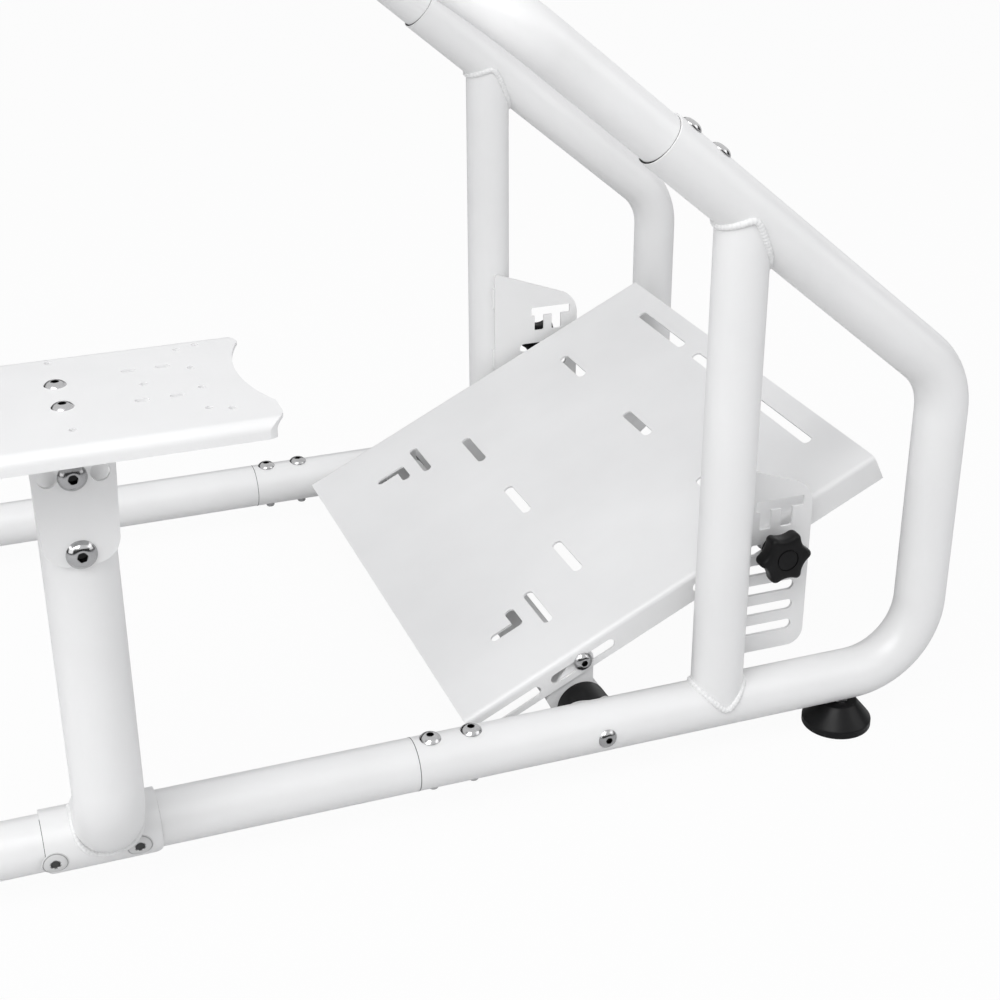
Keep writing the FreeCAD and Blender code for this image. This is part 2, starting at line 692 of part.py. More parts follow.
def make_pivot_bolt(name, side):
    """Dome-headed bolt and nut through the plate's flange and its tab."""
    pivot_x, pivot_z = pivot_place()
    body = new_body(
        name + "_pivot_bolt",
        x=pivot_x,
        y=plate_half() * side,
        z=size("rail_height") + pivot_z,
    )
    gap = size("weld_gap") * side
    radius = size("head_diameter") / 2
    outline = new_sketch(body, "YZ_Plane")
    grip = (size("plate_sheet") + size("tab_gap") + size("sheet") + size("weld_gap")) * side
    crown = gap + size("head_height") * side
    end = -grip - size("nut_height") * side
    draw_run(outline, (
        (gap, 0, None),
        (crown, 0, None),
        (crown, radius, size("head_height") - size("head_rim")),
        (gap, radius, None),
        (gap, size("bolt_diameter") / 2, None),
        (-grip, size("bolt_diameter") / 2, None),
        (-grip, size("nut_diameter") / 2, None),
        (end, size("nut_diameter") / 2, None),
        (end, 0, None),
    ), True)
    revolve(body, outline, "H_Axis")
    return body


def make_bracket(name, side):
    """Upright sheet on the inside of a post, with height slots and a comb for the clamp stud."""
    middle = bracket_face(side) - size("sheet") / 2 * side
    body = new_body(name + "_plate_bracket", y=middle, z=size("rail_height"))
    rear = -size("bracket_overlap")
    front = size("bracket_reach")
    face = new_sketch(body, "XZ_Plane")
    draw_run(face, (
        (rear, size("bracket_foot"), size("bracket_rear_round")),
        (front, size("bracket_foot"), size("bracket_low_round")),
        (front, size("bracket_brow"), size("bracket_top_round")),
        (rear, size("bracket_peak"), size("bracket_rear_round")),
    ), True)
    pad(body, face, size("sheet"), symmetric=True)
    slots = new_sketch(body, "XZ_Plane")
    first = size("bracket_slot_first")
    length = size("bracket_slot_length")
    draw_slot(slots, size("bracket_slot_middle"), first, length, size("bracket_slot_height"))
    lowest = cut_through(body, slots)
    stack = body.newObject("PartDesign::LinearPattern", body.Name + "_stack")
    stack.Originals = [lowest]
    stack.Direction = (slots, ["V_Axis"])
    bind(stack, "Length", size("bracket_slot_pitch") * (size("bracket_slot_count") - 1))
    bind(stack, "Occurrences", size("bracket_slot_count"))
    body.Tip = stack
    comb = new_sketch(body, "XZ_Plane")
    half = size("comb_width") / 2
    floor = size("comb_floor")
    ceiling = size("comb_ceiling")
    bottom = size("comb_bottom")
    one = size("comb_notch")
    two = one + size("comb_pitch")
    rounding = size("comb_round")
    draw_run(comb, (
        (size("comb_rear"), floor, rounding),
        (one - half, floor, None),
        (one - half, bottom, rounding),
        (one + half, bottom, rounding),
        (one + half, floor, None),
        (two - half, floor, None),
        (two - half, bottom, rounding),
        (two + half, bottom, rounding),
        (two + half, floor, None),
        (size("comb_front"), floor, rounding),
        (size("comb_front"), ceiling, rounding),
        (size("comb_rear"), ceiling, rounding),
    ), True)
    cut_through(body, comb)
    return body


# Clamp knobs

def stud_place():
    """Where the clamp stud crosses the bracket's top height slot and the flange's clamp slot."""
    z = size("bracket_slot_first") + size("bracket_slot_pitch") * (size("bracket_slot_count") - 1)
    rise = z + size("flange_slot_depth") / cosine(size("plate_tilt")) - size("plate_drop")
    return rise / tangent(size("plate_tilt")) - size("plate_back"), z


def draw_star(sketch):
    """Outline of the lobed head: a star whose points and hollows are rounded."""
    corners = []
    for count in range(KNOB_LOBES):
        lobe = dim(360 / KNOB_LOBES * count)
        hollow = dim(360 / KNOB_LOBES * (count + 0.5))
        peak = size("knob_peak") / 2
        valley = size("knob_valley") / 2
        corners.append((peak * cosine(lobe), peak * sine(lobe), size("knob_tip")))
        corners.append((valley * cosine(hollow), valley * sine(hollow), size("knob_hollow")))
    draw_run(sketch, corners, True)


def bevel_face(body, head, width, side):
    """Bevels the edges round the outermost face of a body's last feature."""
    doc.recompute()
    faces = [face.CenterOfMass.y * side for face in head.Shape.Faces]
    bevel = body.newObject("PartDesign::Chamfer", body.Name + "_bevel")
    bevel.Base = (head, ["Face%d" % (faces.index(max(faces)) + 1)])
    bind(bevel, "Size", width)


def make_knob(name, side):
    """Star knob: a collar, a lobed head with hollows between the lobes, and a round cap."""
    x, z = stud_place()
    body = new_body(
        name + "_knob",
        x=x,
        y=bracket_face(side) + size("weld_gap") * side,
        z=z + size("rail_height"),
    )
    inward = side == LEFT
    collar = new_sketch(body, "XZ_Plane")
    draw_circle(collar, 0, 0, size("knob_collar_diameter"))
    pad(body, collar, size("knob_collar"), backwards=inward)
    outline = new_sketch(body, "XZ_Plane", size("knob_collar") * -side)
    draw_star(outline)
    head = pad(body, outline, size("knob_height"), backwards=inward)
    bevel_face(body, head, size("knob_bevel"), side)
    groove = new_sketch(body, "XZ_Plane", (size("knob_collar") + size("knob_height")) * -side)
    draw_ring(groove, 0, 0, size("knob_cap_diameter"), size("knob_cap_groove"))
    cut_depth(body, groove, size("knob_cap_groove"), backwards=inward)
    bore = new_sketch(body, "XZ_Plane")
    draw_circle(bore, 0, 0, size("bolt_diameter") + size("thread_gap") * 2)
    cut_depth(body, bore, size("knob_collar"), backwards=not inward)
    return body


def make_stud(name, side):
    """Clamp stud from inside the knob's collar to the inner face of the plate's flange."""
    x, z = stud_place()
    outer = bracket_face(side) + (size("weld_gap") + size("knob_collar") - size("knob_bore_spare")) * side
    body = new_body(name + "_clamp_stud", x=x, y=outer, z=z + size("rail_height"))
    shank = new_sketch(body, "XZ_Plane")
    draw_circle(shank, 0, 0, size("bolt_diameter"))
    length = size("sheet") + size("plate_clearance") + size("knob_collar")
    grip = size("plate_sheet") + size("weld_gap") * 2
    pad(body, shank, length + grip, backwards=side == RIGHT)
    head = new_sketch(body, "XZ_Plane", (length + grip) * side)
    draw_circle(head, 0, 0, size("head_diameter"))
    pad(body, head, size("sheet"), backwards=side == RIGHT)
    return body


# Feet

def make_foot(label, x, side):
    """Moulded foot: a round base with a straight rim, and a cone that narrows towards the tube."""
    body = new_body(label, x=x, y=size("loop_spacing") / 2 * side)
    outline = new_sketch(body, "XZ_Plane")
    rim = size("foot_diameter") / 2
    draw_run(outline, (
        (0, 0, None),
        (rim, 0, size("foot_rounding")),
        (rim, size("foot_base"), size("foot_shoulder")),
        (size("foot_neck") / 2, size("foot_height"), size("foot_rounding")),
        (0, size("foot_height"), None),
    ), True)
    revolve(body, outline, "V_Axis")
    return body


def make_foot_stud(label, x, side):
    """Threaded stud and nut between a foot and its tube."""
    body = new_body(label, x=x, y=size("loop_spacing") / 2 * side, z=size("foot_height") + size("weld_gap"))
    shank = new_sketch(body, "XY_Plane")
    draw_circle(shank, 0, 0, size("foot_stud"))
    rise = size("rail_height") - size("tube_diameter") / 2 - size("foot_height")
    pad(body, shank, rise + size("foot_stud_insert"))
    nut = new_sketch(body, "XY_Plane")
    draw_circle(nut, 0, 0, size("foot_nut"))
    pad(body, nut, rise - size("weld_gap") * 2)
    return body


# Shifter stand, on the driver's right

def shifter_y():
    return -(size("loop_spacing") / 2 + size("shifter_outset"))


def make_saddle():
    """Half sleeve over the top and the outer side of the right rail, which carries the shifter post."""
    x = -(size("shifter_setback") + size("saddle_shift"))
    body = new_body("shifter_saddle", x=x, y=-size("loop_spacing") / 2, z=size("rail_height"))
    ring = new_sketch(body, "YZ_Plane")
    outer = size("tube_diameter") + (size("saddle_wall") + size("weld_gap")) * 2
    draw_ring(ring, 0, 0, outer, size("saddle_wall"))
    pad(body, ring, size("saddle_length"), symmetric=True)
    half = new_sketch(body, "YZ_Plane")
    across = (cosine(size("saddle_tuck")) * outer, sine(size("saddle_tuck")) * outer)
    draw_run(half, (
        (-across[0], -across[1], None),
        (-across[0] + across[1], -across[1] - across[0], None),
        (across[0] + across[1], across[1] - across[0], None),
        (across[0], across[1], None),
    ), True)
    cut_through(body, half)
    corners = new_sketch(body, "XZ_Plane")
    end = size("saddle_length") / 2
    low = -sine(size("saddle_tuck")) * (outer / 2)
    above = outer / 2 + size("saddle_wall")
    draw_box(corners, -end * 2, end * 2, -outer, outer)
    draw_run(corners, (
        (-end, low, size("saddle_corner")),
        (end, low, size("saddle_corner")),
        (end, above, None),
        (-end, above, None),
    ), True)
    cut_through(body, corners)
    return body


def make_shifter_post():
    """Tube that leaves the saddle sideways, bends up and carries the shifter bracket."""
    body = new_body(
        "shifter_post",
        x=-size("shifter_setback"),
        y=-size("loop_spacing") / 2,
        z=size("rail_height"),
    )
    rise = size("shifter_rise")
    begin = size("shifter_bend") + size("tube_wall") - size("shifter_outset")
    path = new_sketch(body, "YZ_Plane")
    top = size("shelf_height") - size("sheet") * 2 - size("post_top_drop")
    draw_run(path, (
        (begin, rise, None),
        (-size("shifter_outset"), rise, size("shifter_bend")),
        (-size("shifter_outset"), top, None),
    ), False)
    ring = new_sketch(body, "XZ_Plane", -begin)
    draw_ring(ring, 0, rise, size("shifter_tube"), size("tube_wall"))
    sweep(body, ring, path)
    lid = new_sketch(body, "XZ_Plane", -begin)
    draw_circle(lid, 0, rise, size("shifter_tube"))
    pad(body, lid, size("tube_wall"))
    outer = size("tube_diameter") + (size("saddle_wall") + size("weld_gap")) * 2
    cope_along_x(body, 0, 0, outer)
    return body


def make_tongue():
    """Folded shifter bracket: a tongue bolted to the post and a ledge under the plate."""
    top = size("shelf_height") - size("sheet") - size("weld_gap")
    body = new_body(
        "shifter_bracket",
        x=-size("shifter_setback"),
        y=shifter_y(),
        z=size("rail_height") + top,
    )
    wall = size("sheet")
    inner = -(size("shifter_tube") / 2 + size("weld_gap"))
    outer = inner - wall
    fold = size("tongue_fold")
    section = new_sketch(body, "YZ_Plane")
    draw_run(section, (
        (outer, 0, fold),
        (outer, -size("tongue_length"), None),
        (inner, -size("tongue_length"), None),
        (inner, -wall, fold - wall),
        (outer + size("tongue_ledge"), -wall, None),
        (outer + size("tongue_ledge"), 0, None),
    ), True)
    pad(body, section, size("tongue_width"), symmetric=True)
    half = size("tongue_width") / 2
    foot = size("tongue_foot_width") / 2
    trim = new_sketch(body, "XZ_Plane")
    draw_box(trim, -half * 2, half * 2, -size("tongue_length") * 2, size("tongue_length"))
    draw_run(trim, (
        (-half, size("tongue_length") / 2, None),
        (-half, -wall * 2, None),
        (-foot, -size("tongue_length"), size("tongue_round")),
        (foot, -size("tongue_length"), size("tongue_round")),
        (half, -wall * 2, None),
        (half, size("tongue_length") / 2, None),
    ), True)
    cut_through(body, trim)
    holes = new_sketch(body, "XZ_Plane")
    for count in (-1, 0, 1):
        draw_circle(holes, size("tongue_hole_pitch") * count, -size("tongue_hole_drop"), size("tongue_hole"))
    draw_circle(holes, 0, -size("tongue_pivot_drop"), size("slot_width"))
    cut_through(body, holes)
    return body


# Bolt holes of one half of the shifter plate: rearward and sideways distances from its middle.
SHELF_HOLES = ((109, 66), (94, 60), (97, 20))
SHELF_SLOTS = ((53, 30), (78, 30))
SHELF_EDGE_HOLE = 66
SHELF_CENTRE_HOLE = 59


def make_shelf():
    """Shifter plate: sheet with folded long edges, hollowed ends and a field of bolt holes."""
    body = new_body(
        "shifter_plate",
        x=-size("shifter_setback"),
        y=shifter_y() - size("shelf_outset"),
        z=size("rail_height") + size("shelf_height"),
    )
    half = size("shelf_width") / 2
    wall = size("sheet")
    fold = size("shelf_fold")
    drop = -size("shelf_flange")
    section = new_sketch(body, "YZ_Plane")
    draw_run(section, (
        (-half, drop, None),
        (-half + wall, drop, None),
        (-half + wall, -wall, fold - wall),
        (half - wall, -wall, fold - wall),
        (half - wall, drop, None),
        (half, drop, None),
        (half, 0, fold),
        (-half, 0, fold),
    ), True)
    pad(body, section, size("shelf_length"), symmetric=True)
    end = size("shelf_length") / 2
    corner = size("shelf_corner")
    trim = new_sketch(body, "XY_Plane")
    edge = half + size("shelf_corner_lead")
    draw_box(trim, -end * 2, end * 2, -half * 2, half * 2)
    draw_run(trim, (
        (-end, -edge, corner),
        (end, -edge, corner),
        (end, edge, corner),
        (-end, edge, corner),
    ), True)
    cut_through(body, trim)
    bay = new_sketch(body, "XY_Plane")
    middle = end + size("shelf_bay") - size("shelf_bay_depth")
    for direction in (-1, 1):
        draw_circle(bay, middle * direction, size("shelf_outset"), size("shelf_bay") * 2)
    cut_through(body, bay)
    holes = new_sketch(body, "XY_Plane")
    bore = size("shelf_hole")
    across = size("shelf_outset")
    for direction in (-1, 1):
        for row in (-1, 1):
            for x, y in SHELF_HOLES:
                draw_circle(holes, dim(x * direction), across + y * row, bore)
            for x, y in SHELF_SLOTS:
                draw_slot(holes, dim(x * direction), across + y * row, size("shelf_hole_slot"), bore)
        draw_circle(holes, dim(SHELF_CENTRE_HOLE * direction), across, bore)
        draw_circle(holes, 0, across + SHELF_EDGE_HOLE * direction, bore)
    cut_through(body, holes)
    return body


# The whole frame

nodes = []
for name, side in SIDES:
    nodes.append(make_side_loop(name, side))
    nodes.append(make_post(name, side))
    nodes.append(make_bracket(name, side))
    nodes.append(make_rail(name, side))
    nodes.append(make_end_cap(name, side))
    nodes.append(make_pivot_tab(name, side))
    nodes.append(make_pivot_bolt(name, side))
    nodes.append(make_knob(name, side))
    nodes.append(make_stud(name, side))
    nodes.append(make_foot(name + "_front_foot", size("foot_setforward"), side))
    nodes.append(make_foot(name + "_rear_foot", rear_foot_place(), side))
    nodes.append(make_foot_stud(name + "_front_foot_stud", size("foot_setforward"), side))
    nodes.append(make_foot_stud(name + "_rear_foot_stud", rear_foot_place(), side))
nodes.append(make_cross_tube("pedal_cross_tube", size("cross_setback")))
nodes.append(make_cross_tube("rear_cross_tube", size("rear_reach")))
nodes.append(make_pedal_plate())
nodes.append(make_hoop())
nodes.append(make_saddle())
nodes.append(make_shifter_post())
nodes.append(make_tongue())
nodes.append(make_shelf())
doc.recompute()

faults = [item.Label for item in doc.Objects if "Invalid" in item.State or "Error" in item.State]
for body in nodes:
    if body.Shape.isNull() or not body.Shape.isValid() or not body.Shape.Solids:
        faults.append(body.Label + " has no valid solid")
    else:
        print("%-24s %d solid, %.0f mm3" % (body.Label, len(body.Shape.Solids), body.Shape.Volume))
if faults:
    raise RuntimeError("; ".join(faults))

os.makedirs("parts", exist_ok=True)
for body in nodes:
    body.Shape.exportStep("parts/%s.step" % body.Label)
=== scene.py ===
# %% [markdown]
# # A sim racing cockpit frame
# The frame stands on the floor with its pedal end in front. White tubes carry a slotted pedal plate,
# a steering hoop and a shifter stand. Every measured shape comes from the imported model, so this lesson
# adds what a drawing leaves out: finishes, weld beads, screws, rounded knobs, light and a camera.

# %% Load the measured model
import json
import math
import bmesh
import bpy
from mathutils import Matrix, Vector


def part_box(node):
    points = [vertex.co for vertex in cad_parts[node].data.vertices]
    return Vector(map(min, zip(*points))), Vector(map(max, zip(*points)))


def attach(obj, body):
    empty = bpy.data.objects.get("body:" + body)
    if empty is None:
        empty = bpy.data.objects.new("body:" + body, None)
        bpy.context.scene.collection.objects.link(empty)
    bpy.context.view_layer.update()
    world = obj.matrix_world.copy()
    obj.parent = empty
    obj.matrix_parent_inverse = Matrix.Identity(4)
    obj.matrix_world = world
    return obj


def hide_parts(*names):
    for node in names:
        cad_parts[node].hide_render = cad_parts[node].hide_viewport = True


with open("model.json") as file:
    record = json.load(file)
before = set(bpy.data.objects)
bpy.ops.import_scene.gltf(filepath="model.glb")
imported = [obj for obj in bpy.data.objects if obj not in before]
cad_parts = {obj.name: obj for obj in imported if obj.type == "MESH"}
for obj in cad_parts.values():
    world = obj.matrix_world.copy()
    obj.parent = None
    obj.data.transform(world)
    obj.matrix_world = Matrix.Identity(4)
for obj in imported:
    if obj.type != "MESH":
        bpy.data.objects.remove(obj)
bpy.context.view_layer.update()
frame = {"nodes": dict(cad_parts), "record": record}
bpy.context.scene.view_settings.view_transform = "Standard"
nodes = frame["nodes"]

# %% [markdown]
# ## Sizes that the details follow
# A bead or a screw must sit on its tube, so its place is worked out from the same few sizes that the
# model was drawn with. They are written once here, in metres.

# %% Named sizes
TUBE = 0.024
RAIL_Z = 0.053
LOOP_Y = 0.308
SLOPE = math.radians(39.5)
SLOPE_Z = RAIL_Z + 0.473
CROSS_X = -0.1195
REAR_X = -1.050
SHIFTER_X = -0.5645
SHIFTER_TUBE = 0.028
SLEEVE = 0.0272
SHELF_TOP = RAIL_Z + 0.412
BRACKET_FACE = 0.2838
TAB_Y = 0.268
STUD_X, STUD_Z = 0.06419, 0.1908
SIDES = {"left": 1, "right": -1}
print("slope tube axis is", round(SLOPE_Z, 3), "m up at the posts")

# %% [markdown]
# ## Camera
# The camera stands to the driver's right, a little above head height for someone seated, and looks
# down and forward. A lens of about 63 mm on a 36 mm sensor keeps the perspective gentle.

# %% Camera
AZIMUTH = math.radians(-20.217)
ELEVATION = math.radians(25.726)
ROLL = math.radians(-0.224)
STANDPOINT = (-0.6673, -1.5401, 0.9303)
LENS, SENSOR = 62.77, 36


def look_axes():
    """Right, up and backward directions of the camera."""
    forward = Vector((-math.sin(AZIMUTH) * math.cos(ELEVATION),
                      math.cos(AZIMUTH) * math.cos(ELEVATION), -math.sin(ELEVATION)))
    level = Vector((math.cos(AZIMUTH), math.sin(AZIMUTH), 0))
    upright = level.cross(forward)
    right = level * math.cos(ROLL) + upright * math.sin(ROLL)
    up = upright * math.cos(ROLL) - level * math.sin(ROLL)
    return right, up, -forward


camera_data = bpy.data.cameras.new("camera")
camera_data.sensor_width = SENSOR
camera_data.lens = LENS
camera = bpy.data.objects.new("camera", camera_data)
bpy.context.scene.collection.objects.link(camera)
camera.matrix_world = Matrix.Translation(STANDPOINT) @ Matrix(look_axes()).transposed().to_4x4()
bpy.context.scene.camera = camera
print("lens", camera_data.lens, "mm")

# %% [markdown]
# ## Light and floor
# A white object on white needs light with a direction, or its round tubes look flat. A large soft
# lamp stands above and to the left, weaker ones fill from the left and from the right, and the sky is a
# mid grey that only lights the object. The camera sees a white sky instead, and so do reflections where
# the black band of a later cell doesn't cover it.

# %% World
SKY_LOW, SKY_HIGH = 0.52, 0.62
world = bpy.data.worlds.new("studio")
bpy.context.scene.world = world
world.use_nodes = True
sky = world.node_tree
sky.nodes.clear()
sky_out = sky.nodes.new("ShaderNodeOutputWorld")
sky_mix = sky.nodes.new("ShaderNodeMixShader")
sky_fill = sky.nodes.new("ShaderNodeBackground")
sky_fill.inputs["Color"].default_value = (0.97, 0.975, 1.0, 1)
sky_height = sky.nodes.new("ShaderNodeSeparateXYZ")
sky_slope = sky.nodes.new("ShaderNodeMapRange")
sky_slope.inputs["To Min"].default_value = SKY_LOW
sky_slope.inputs["To Max"].default_value = SKY_HIGH
sky.links.new(sky.nodes.new("ShaderNodeTexCoord").outputs["Generated"], sky_height.inputs["Vector"])
sky.links.new(sky_height.outputs["Z"], sky_slope.inputs["Value"])
sky.links.new(sky_slope.outputs["Result"], sky_fill.inputs["Strength"])
sky_white = sky.nodes.new("ShaderNodeBackground")
sky_white.inputs["Color"].default_value = (1, 1, 1, 1)
sky_white.inputs["Strength"].default_value = 1.0
ray = sky.nodes.new("ShaderNodeLightPath")
either = sky.nodes.new("ShaderNodeMath")
either.operation = "MAXIMUM"
any_ray = sky.nodes.new("ShaderNodeMath")
any_ray.operation = "MAXIMUM"
sky.links.new(ray.outputs["Is Camera Ray"], either.inputs[0])
sky.links.new(ray.outputs["Is Glossy Ray"], either.inputs[1])
sky.links.new(either.outputs[0], any_ray.inputs[0])
sky.links.new(ray.outputs["Is Transmission Ray"], any_ray.inputs[1])
sky.links.new(any_ray.outputs[0], sky_mix.inputs[0])
sky.links.new(sky_fill.outputs[0], sky_mix.inputs[1])
sky.links.new(sky_white.outputs[0], sky_mix.inputs[2])
sky.links.new(sky_mix.outputs[0], sky_out.inputs["Surface"])
print("sky strength from", SKY_LOW, "at the horizon to", SKY_HIGH, "overhead")

# %% Lamps


def soft_lamp(name, place, target, size, watts):
    """A square area lamp that looks at a point."""
    data = bpy.data.lights.new(name, "AREA")
    data.shape = "SQUARE"
    data.size = size
    data.energy = watts
    lamp = bpy.data.objects.new(name, data)
    bpy.context.scene.collection.objects.link(lamp)
    lamp.location = place
    lamp.rotation_euler = (Vector(target) - Vector(place)).to_track_quat("-Z", "Y").to_euler()
    return lamp


soft_lamp("key_lamp", place=(-1.5, -1.8, 2.6), target=(-0.2, 0, 0.2), size=1.8, watts=46)
soft_lamp("left_lamp", place=(-2.9, -1.4, 1.3), target=(-0.3, 0, 0.2), size=1.8, watts=16)
soft_lamp("fill_lamp", place=(2.4, -1.6, 1.6), target=(-0.1, 0, 0.3), size=2.0, watts=16)
print("three soft lamps")

# %% Floor
FLOOR_SIZE, FLOOR_SQUARES, FLOOR_DROP = 14, 24, 0.0005
FLOOR_GREY, FLOOR_GLOW = 0.68, 0.95
bpy.ops.mesh.primitive_grid_add(x_subdivisions=FLOOR_SQUARES, y_subdivisions=FLOOR_SQUARES,
                                size=FLOOR_SIZE, location=(0, 0, -FLOOR_DROP))
floor = bpy.context.active_object
floor.name = "studio_floor"
floor_paint = bpy.data.materials.new("studio_floor")
floor_paint.use_nodes = True
tree = floor_paint.node_tree
tree.nodes.clear()
out = tree.nodes.new("ShaderNodeOutputMaterial")
mix = tree.nodes.new("ShaderNodeMixShader")
matt = tree.nodes.new("ShaderNodeBsdfDiffuse")
matt.inputs["Color"].default_value = (FLOOR_GREY, FLOOR_GREY, FLOOR_GREY, 1)
glow = tree.nodes.new("ShaderNodeEmission")
glow.inputs["Strength"].default_value = 1.0
path = tree.nodes.new("ShaderNodeLightPath")
share = tree.nodes.new("ShaderNodeMath")
share.operation = "MULTIPLY"
share.inputs[1].default_value = FLOOR_GLOW
tree.links.new(path.outputs["Is Camera Ray"], share.inputs[0])
tree.links.new(share.outputs[0], mix.inputs[0])
tree.links.new(matt.outputs[0], mix.inputs[1])
tree.links.new(glow.outputs[0], mix.inputs[2])
tree.links.new(mix.outputs[0], out.inputs["Surface"])
floor.data.materials.append(floor_paint)
print("floor at", floor.location.z)

# %% [markdown]
# ## A black band for the metal
# Polished heads mirror the whole room, and in an all white room they look like grey plastic. A
# photographer may hang black cards round the object, out of the picture. Here they are one band at the
# height of the horizon, open only towards the front left of the frame. Only reflections see it, in
# place of the white sky.

# %% Black band
CARD_R, CARD_LOW, CARD_HIGH = 5.0, 0.05, 2.3
CARD_FROM, CARD_TO, CARD_STEPS = 64, 375, 60
turns = [math.radians(CARD_FROM + (CARD_TO - CARD_FROM) * k / CARD_STEPS)
         for k in range(CARD_STEPS + 1)]
card_points = [(CARD_R * math.cos(t), CARD_R * math.sin(t), z)
               for t in turns for z in (CARD_LOW, CARD_HIGH)]
card_faces = [(2 * k, 2 * k + 1, 2 * k + 3, 2 * k + 2) for k in range(CARD_STEPS)]
card_mesh = bpy.data.meshes.new("black_card")
card_mesh.from_pydata(card_points, [], card_faces)
card = bpy.data.objects.new("black_card", card_mesh)
bpy.context.scene.collection.objects.link(card)
card_paint = bpy.data.materials.new("black_card")
card_paint.use_nodes = True
card_skin = card_paint.node_tree.nodes["Principled BSDF"]
card_skin.inputs["Base Color"].default_value = (0.01, 0.01, 0.01, 1)
card_mesh.materials.append(card_paint)
card.visible_camera = card.visible_diffuse = card.visible_transmission = card.visible_shadow = False
print("card from", CARD_LOW, "to", CARD_HIGH, "m up")

# %% [markdown]
# ## Powder coat
# The tubes and sheets are powder coated: pigment is blown on dry and baked until it flows. The skin is
# hard and satin, with a fine orange peel that breaks up reflections, and it is a touch thinner and
# duller here and there. Noise on Object coordinates gives the peel its real size of about a
# millimetre, wherever the piece lies.

# %% Coat helpers
TONE_WAVES, GLOSS_WAVES = 9, 34
PEEL_DEPTH = 0.0002


def noise(tree, coordinates, scale, detail, seed_shift=0.0):
    """A noise texture at so many waves to the metre."""
    place = tree.nodes.new("ShaderNodeMapping")
    place.inputs["Location"].default_value = (seed_shift, seed_shift * 0.7, seed_shift * 1.3)
    texture = tree.nodes.new("ShaderNodeTexNoise")
    texture.inputs["Scale"].default_value = scale
    texture.inputs["Detail"].default_value = detail
    tree.links.new(coordinates, place.inputs["Vector"])
    tree.links.new(place.outputs["Vector"], texture.inputs["Vector"])
    return texture.outputs["Fac"]


def spread(tree, value, low, high):
    """Maps a noise from its usual range to low..high."""
    ranged = tree.nodes.new("ShaderNodeMapRange")
    ranged.inputs["From Min"].default_value = 0.3
    ranged.inputs["From Max"].default_value = 0.7
    ranged.inputs["To Min"].default_value = low
    ranged.inputs["To Max"].default_value = high
    tree.links.new(value, ranged.inputs["Value"])
    return ranged.outputs["Result"]


def coat(name, low, high, rough, peel, peel_scale, coat_weight=0.0, metal=0.0, specular=0.5):
    """A coated or moulded surface: two close tones, uneven gloss and a fine bump."""
    material = bpy.data.materials.new(name)
    material.use_nodes = True
    tree = material.node_tree
    tree.nodes.clear()
    out = tree.nodes.new("ShaderNodeOutputMaterial")
    skin = tree.nodes.new("ShaderNodeBsdfPrincipled")
    skin.inputs["Metallic"].default_value = metal
    skin.inputs["Coat Weight"].default_value = coat_weight
    skin.inputs["Coat Roughness"].default_value = 0.25
    skin.inputs["Specular IOR Level"].default_value = specular
    space = tree.nodes.new("ShaderNodeTexCoord")
    where = space.outputs["Object"]
    tone = tree.nodes.new("ShaderNodeMix")
    tone.data_type = "RGBA"
    tone.inputs["A"].default_value = (*low, 1)
    tone.inputs["B"].default_value = (*high, 1)
    tree.links.new(spread(tree, noise(tree, where, TONE_WAVES, 3, 2.0), 0, 1), tone.inputs["Factor"])
    # Painted shade: a named point attribute darkens the colour towards near black in sockets and grooves. On
    # the flush screw heads it also gives a slightly darker tone.
    shade_and_tone = tree.nodes.new("ShaderNodeAttribute")
    shade_and_tone.attribute_name = "shade_and_tone"
    dark = tree.nodes.new("ShaderNodeMix")
    dark.data_type = "RGBA"
    dark.inputs["B"].default_value = (0.02, 0.02, 0.02, 1)
    tree.links.new(shade_and_tone.outputs["Fac"], dark.inputs["Factor"])
    tree.links.new(tone.outputs["Result"], dark.inputs["A"])
    tree.links.new(dark.outputs["Result"], skin.inputs["Base Color"])
    gloss = spread(tree, noise(tree, where, GLOSS_WAVES, 4, 5.0), rough - 0.05, rough + 0.07)
    tree.links.new(gloss, skin.inputs["Roughness"])
    bump = tree.nodes.new("ShaderNodeBump")
    bump.inputs["Strength"].default_value = peel
    bump.inputs["Distance"].default_value = PEEL_DEPTH
    tree.links.new(noise(tree, where, peel_scale, 3, 9.0), bump.inputs["Height"])
    tree.links.new(bump.outputs["Normal"], skin.inputs["Normal"])
    tree.links.new(skin.outputs["BSDF"], out.inputs["Surface"])
    return material


# %% Three finishes
white_coat = coat("white_coat", (0.80, 0.80, 0.797), (0.84, 0.84, 0.837),
                  rough=0.34, peel=0.25, peel_scale=700, coat_weight=0.15)
black_plastic = coat("black_plastic", (0.005, 0.005, 0.0053), (0.010, 0.010, 0.0105),
                     rough=0.33, peel=0.35, peel_scale=1400, specular=0.16)
bright_steel = coat("bright_steel", (0.40, 0.40, 0.405), (0.54, 0.54, 0.545),
                    rough=0.17, peel=0.2, peel_scale=900, metal=1.0)
finishes = {"white_coat": white_coat, "black_plastic": black_plastic, "bright_steel": bright_steel}
print("finishes:", ", ".join(finishes))

# %% Finish for each measured piece
for part in frame["record"]["subparts"]:
    piece = nodes[part["node"]]
    piece.data.materials.clear()
    piece.data.materials.append(finishes[part["material_slot"]])

# %% [markdown]
# ## A loft for turned and moulded pieces
# A screw head, a knob or a collar is a stack of closed outlines. Joining outline to outline keeps every
# face a clean quad, and a stack that starts and ends in a single point is closed. Faces that meet at
# more than a set angle keep a sharp edge, and the rest are shaded as one curved skin.

# %% Loft helper
CREASE = math.radians(32)


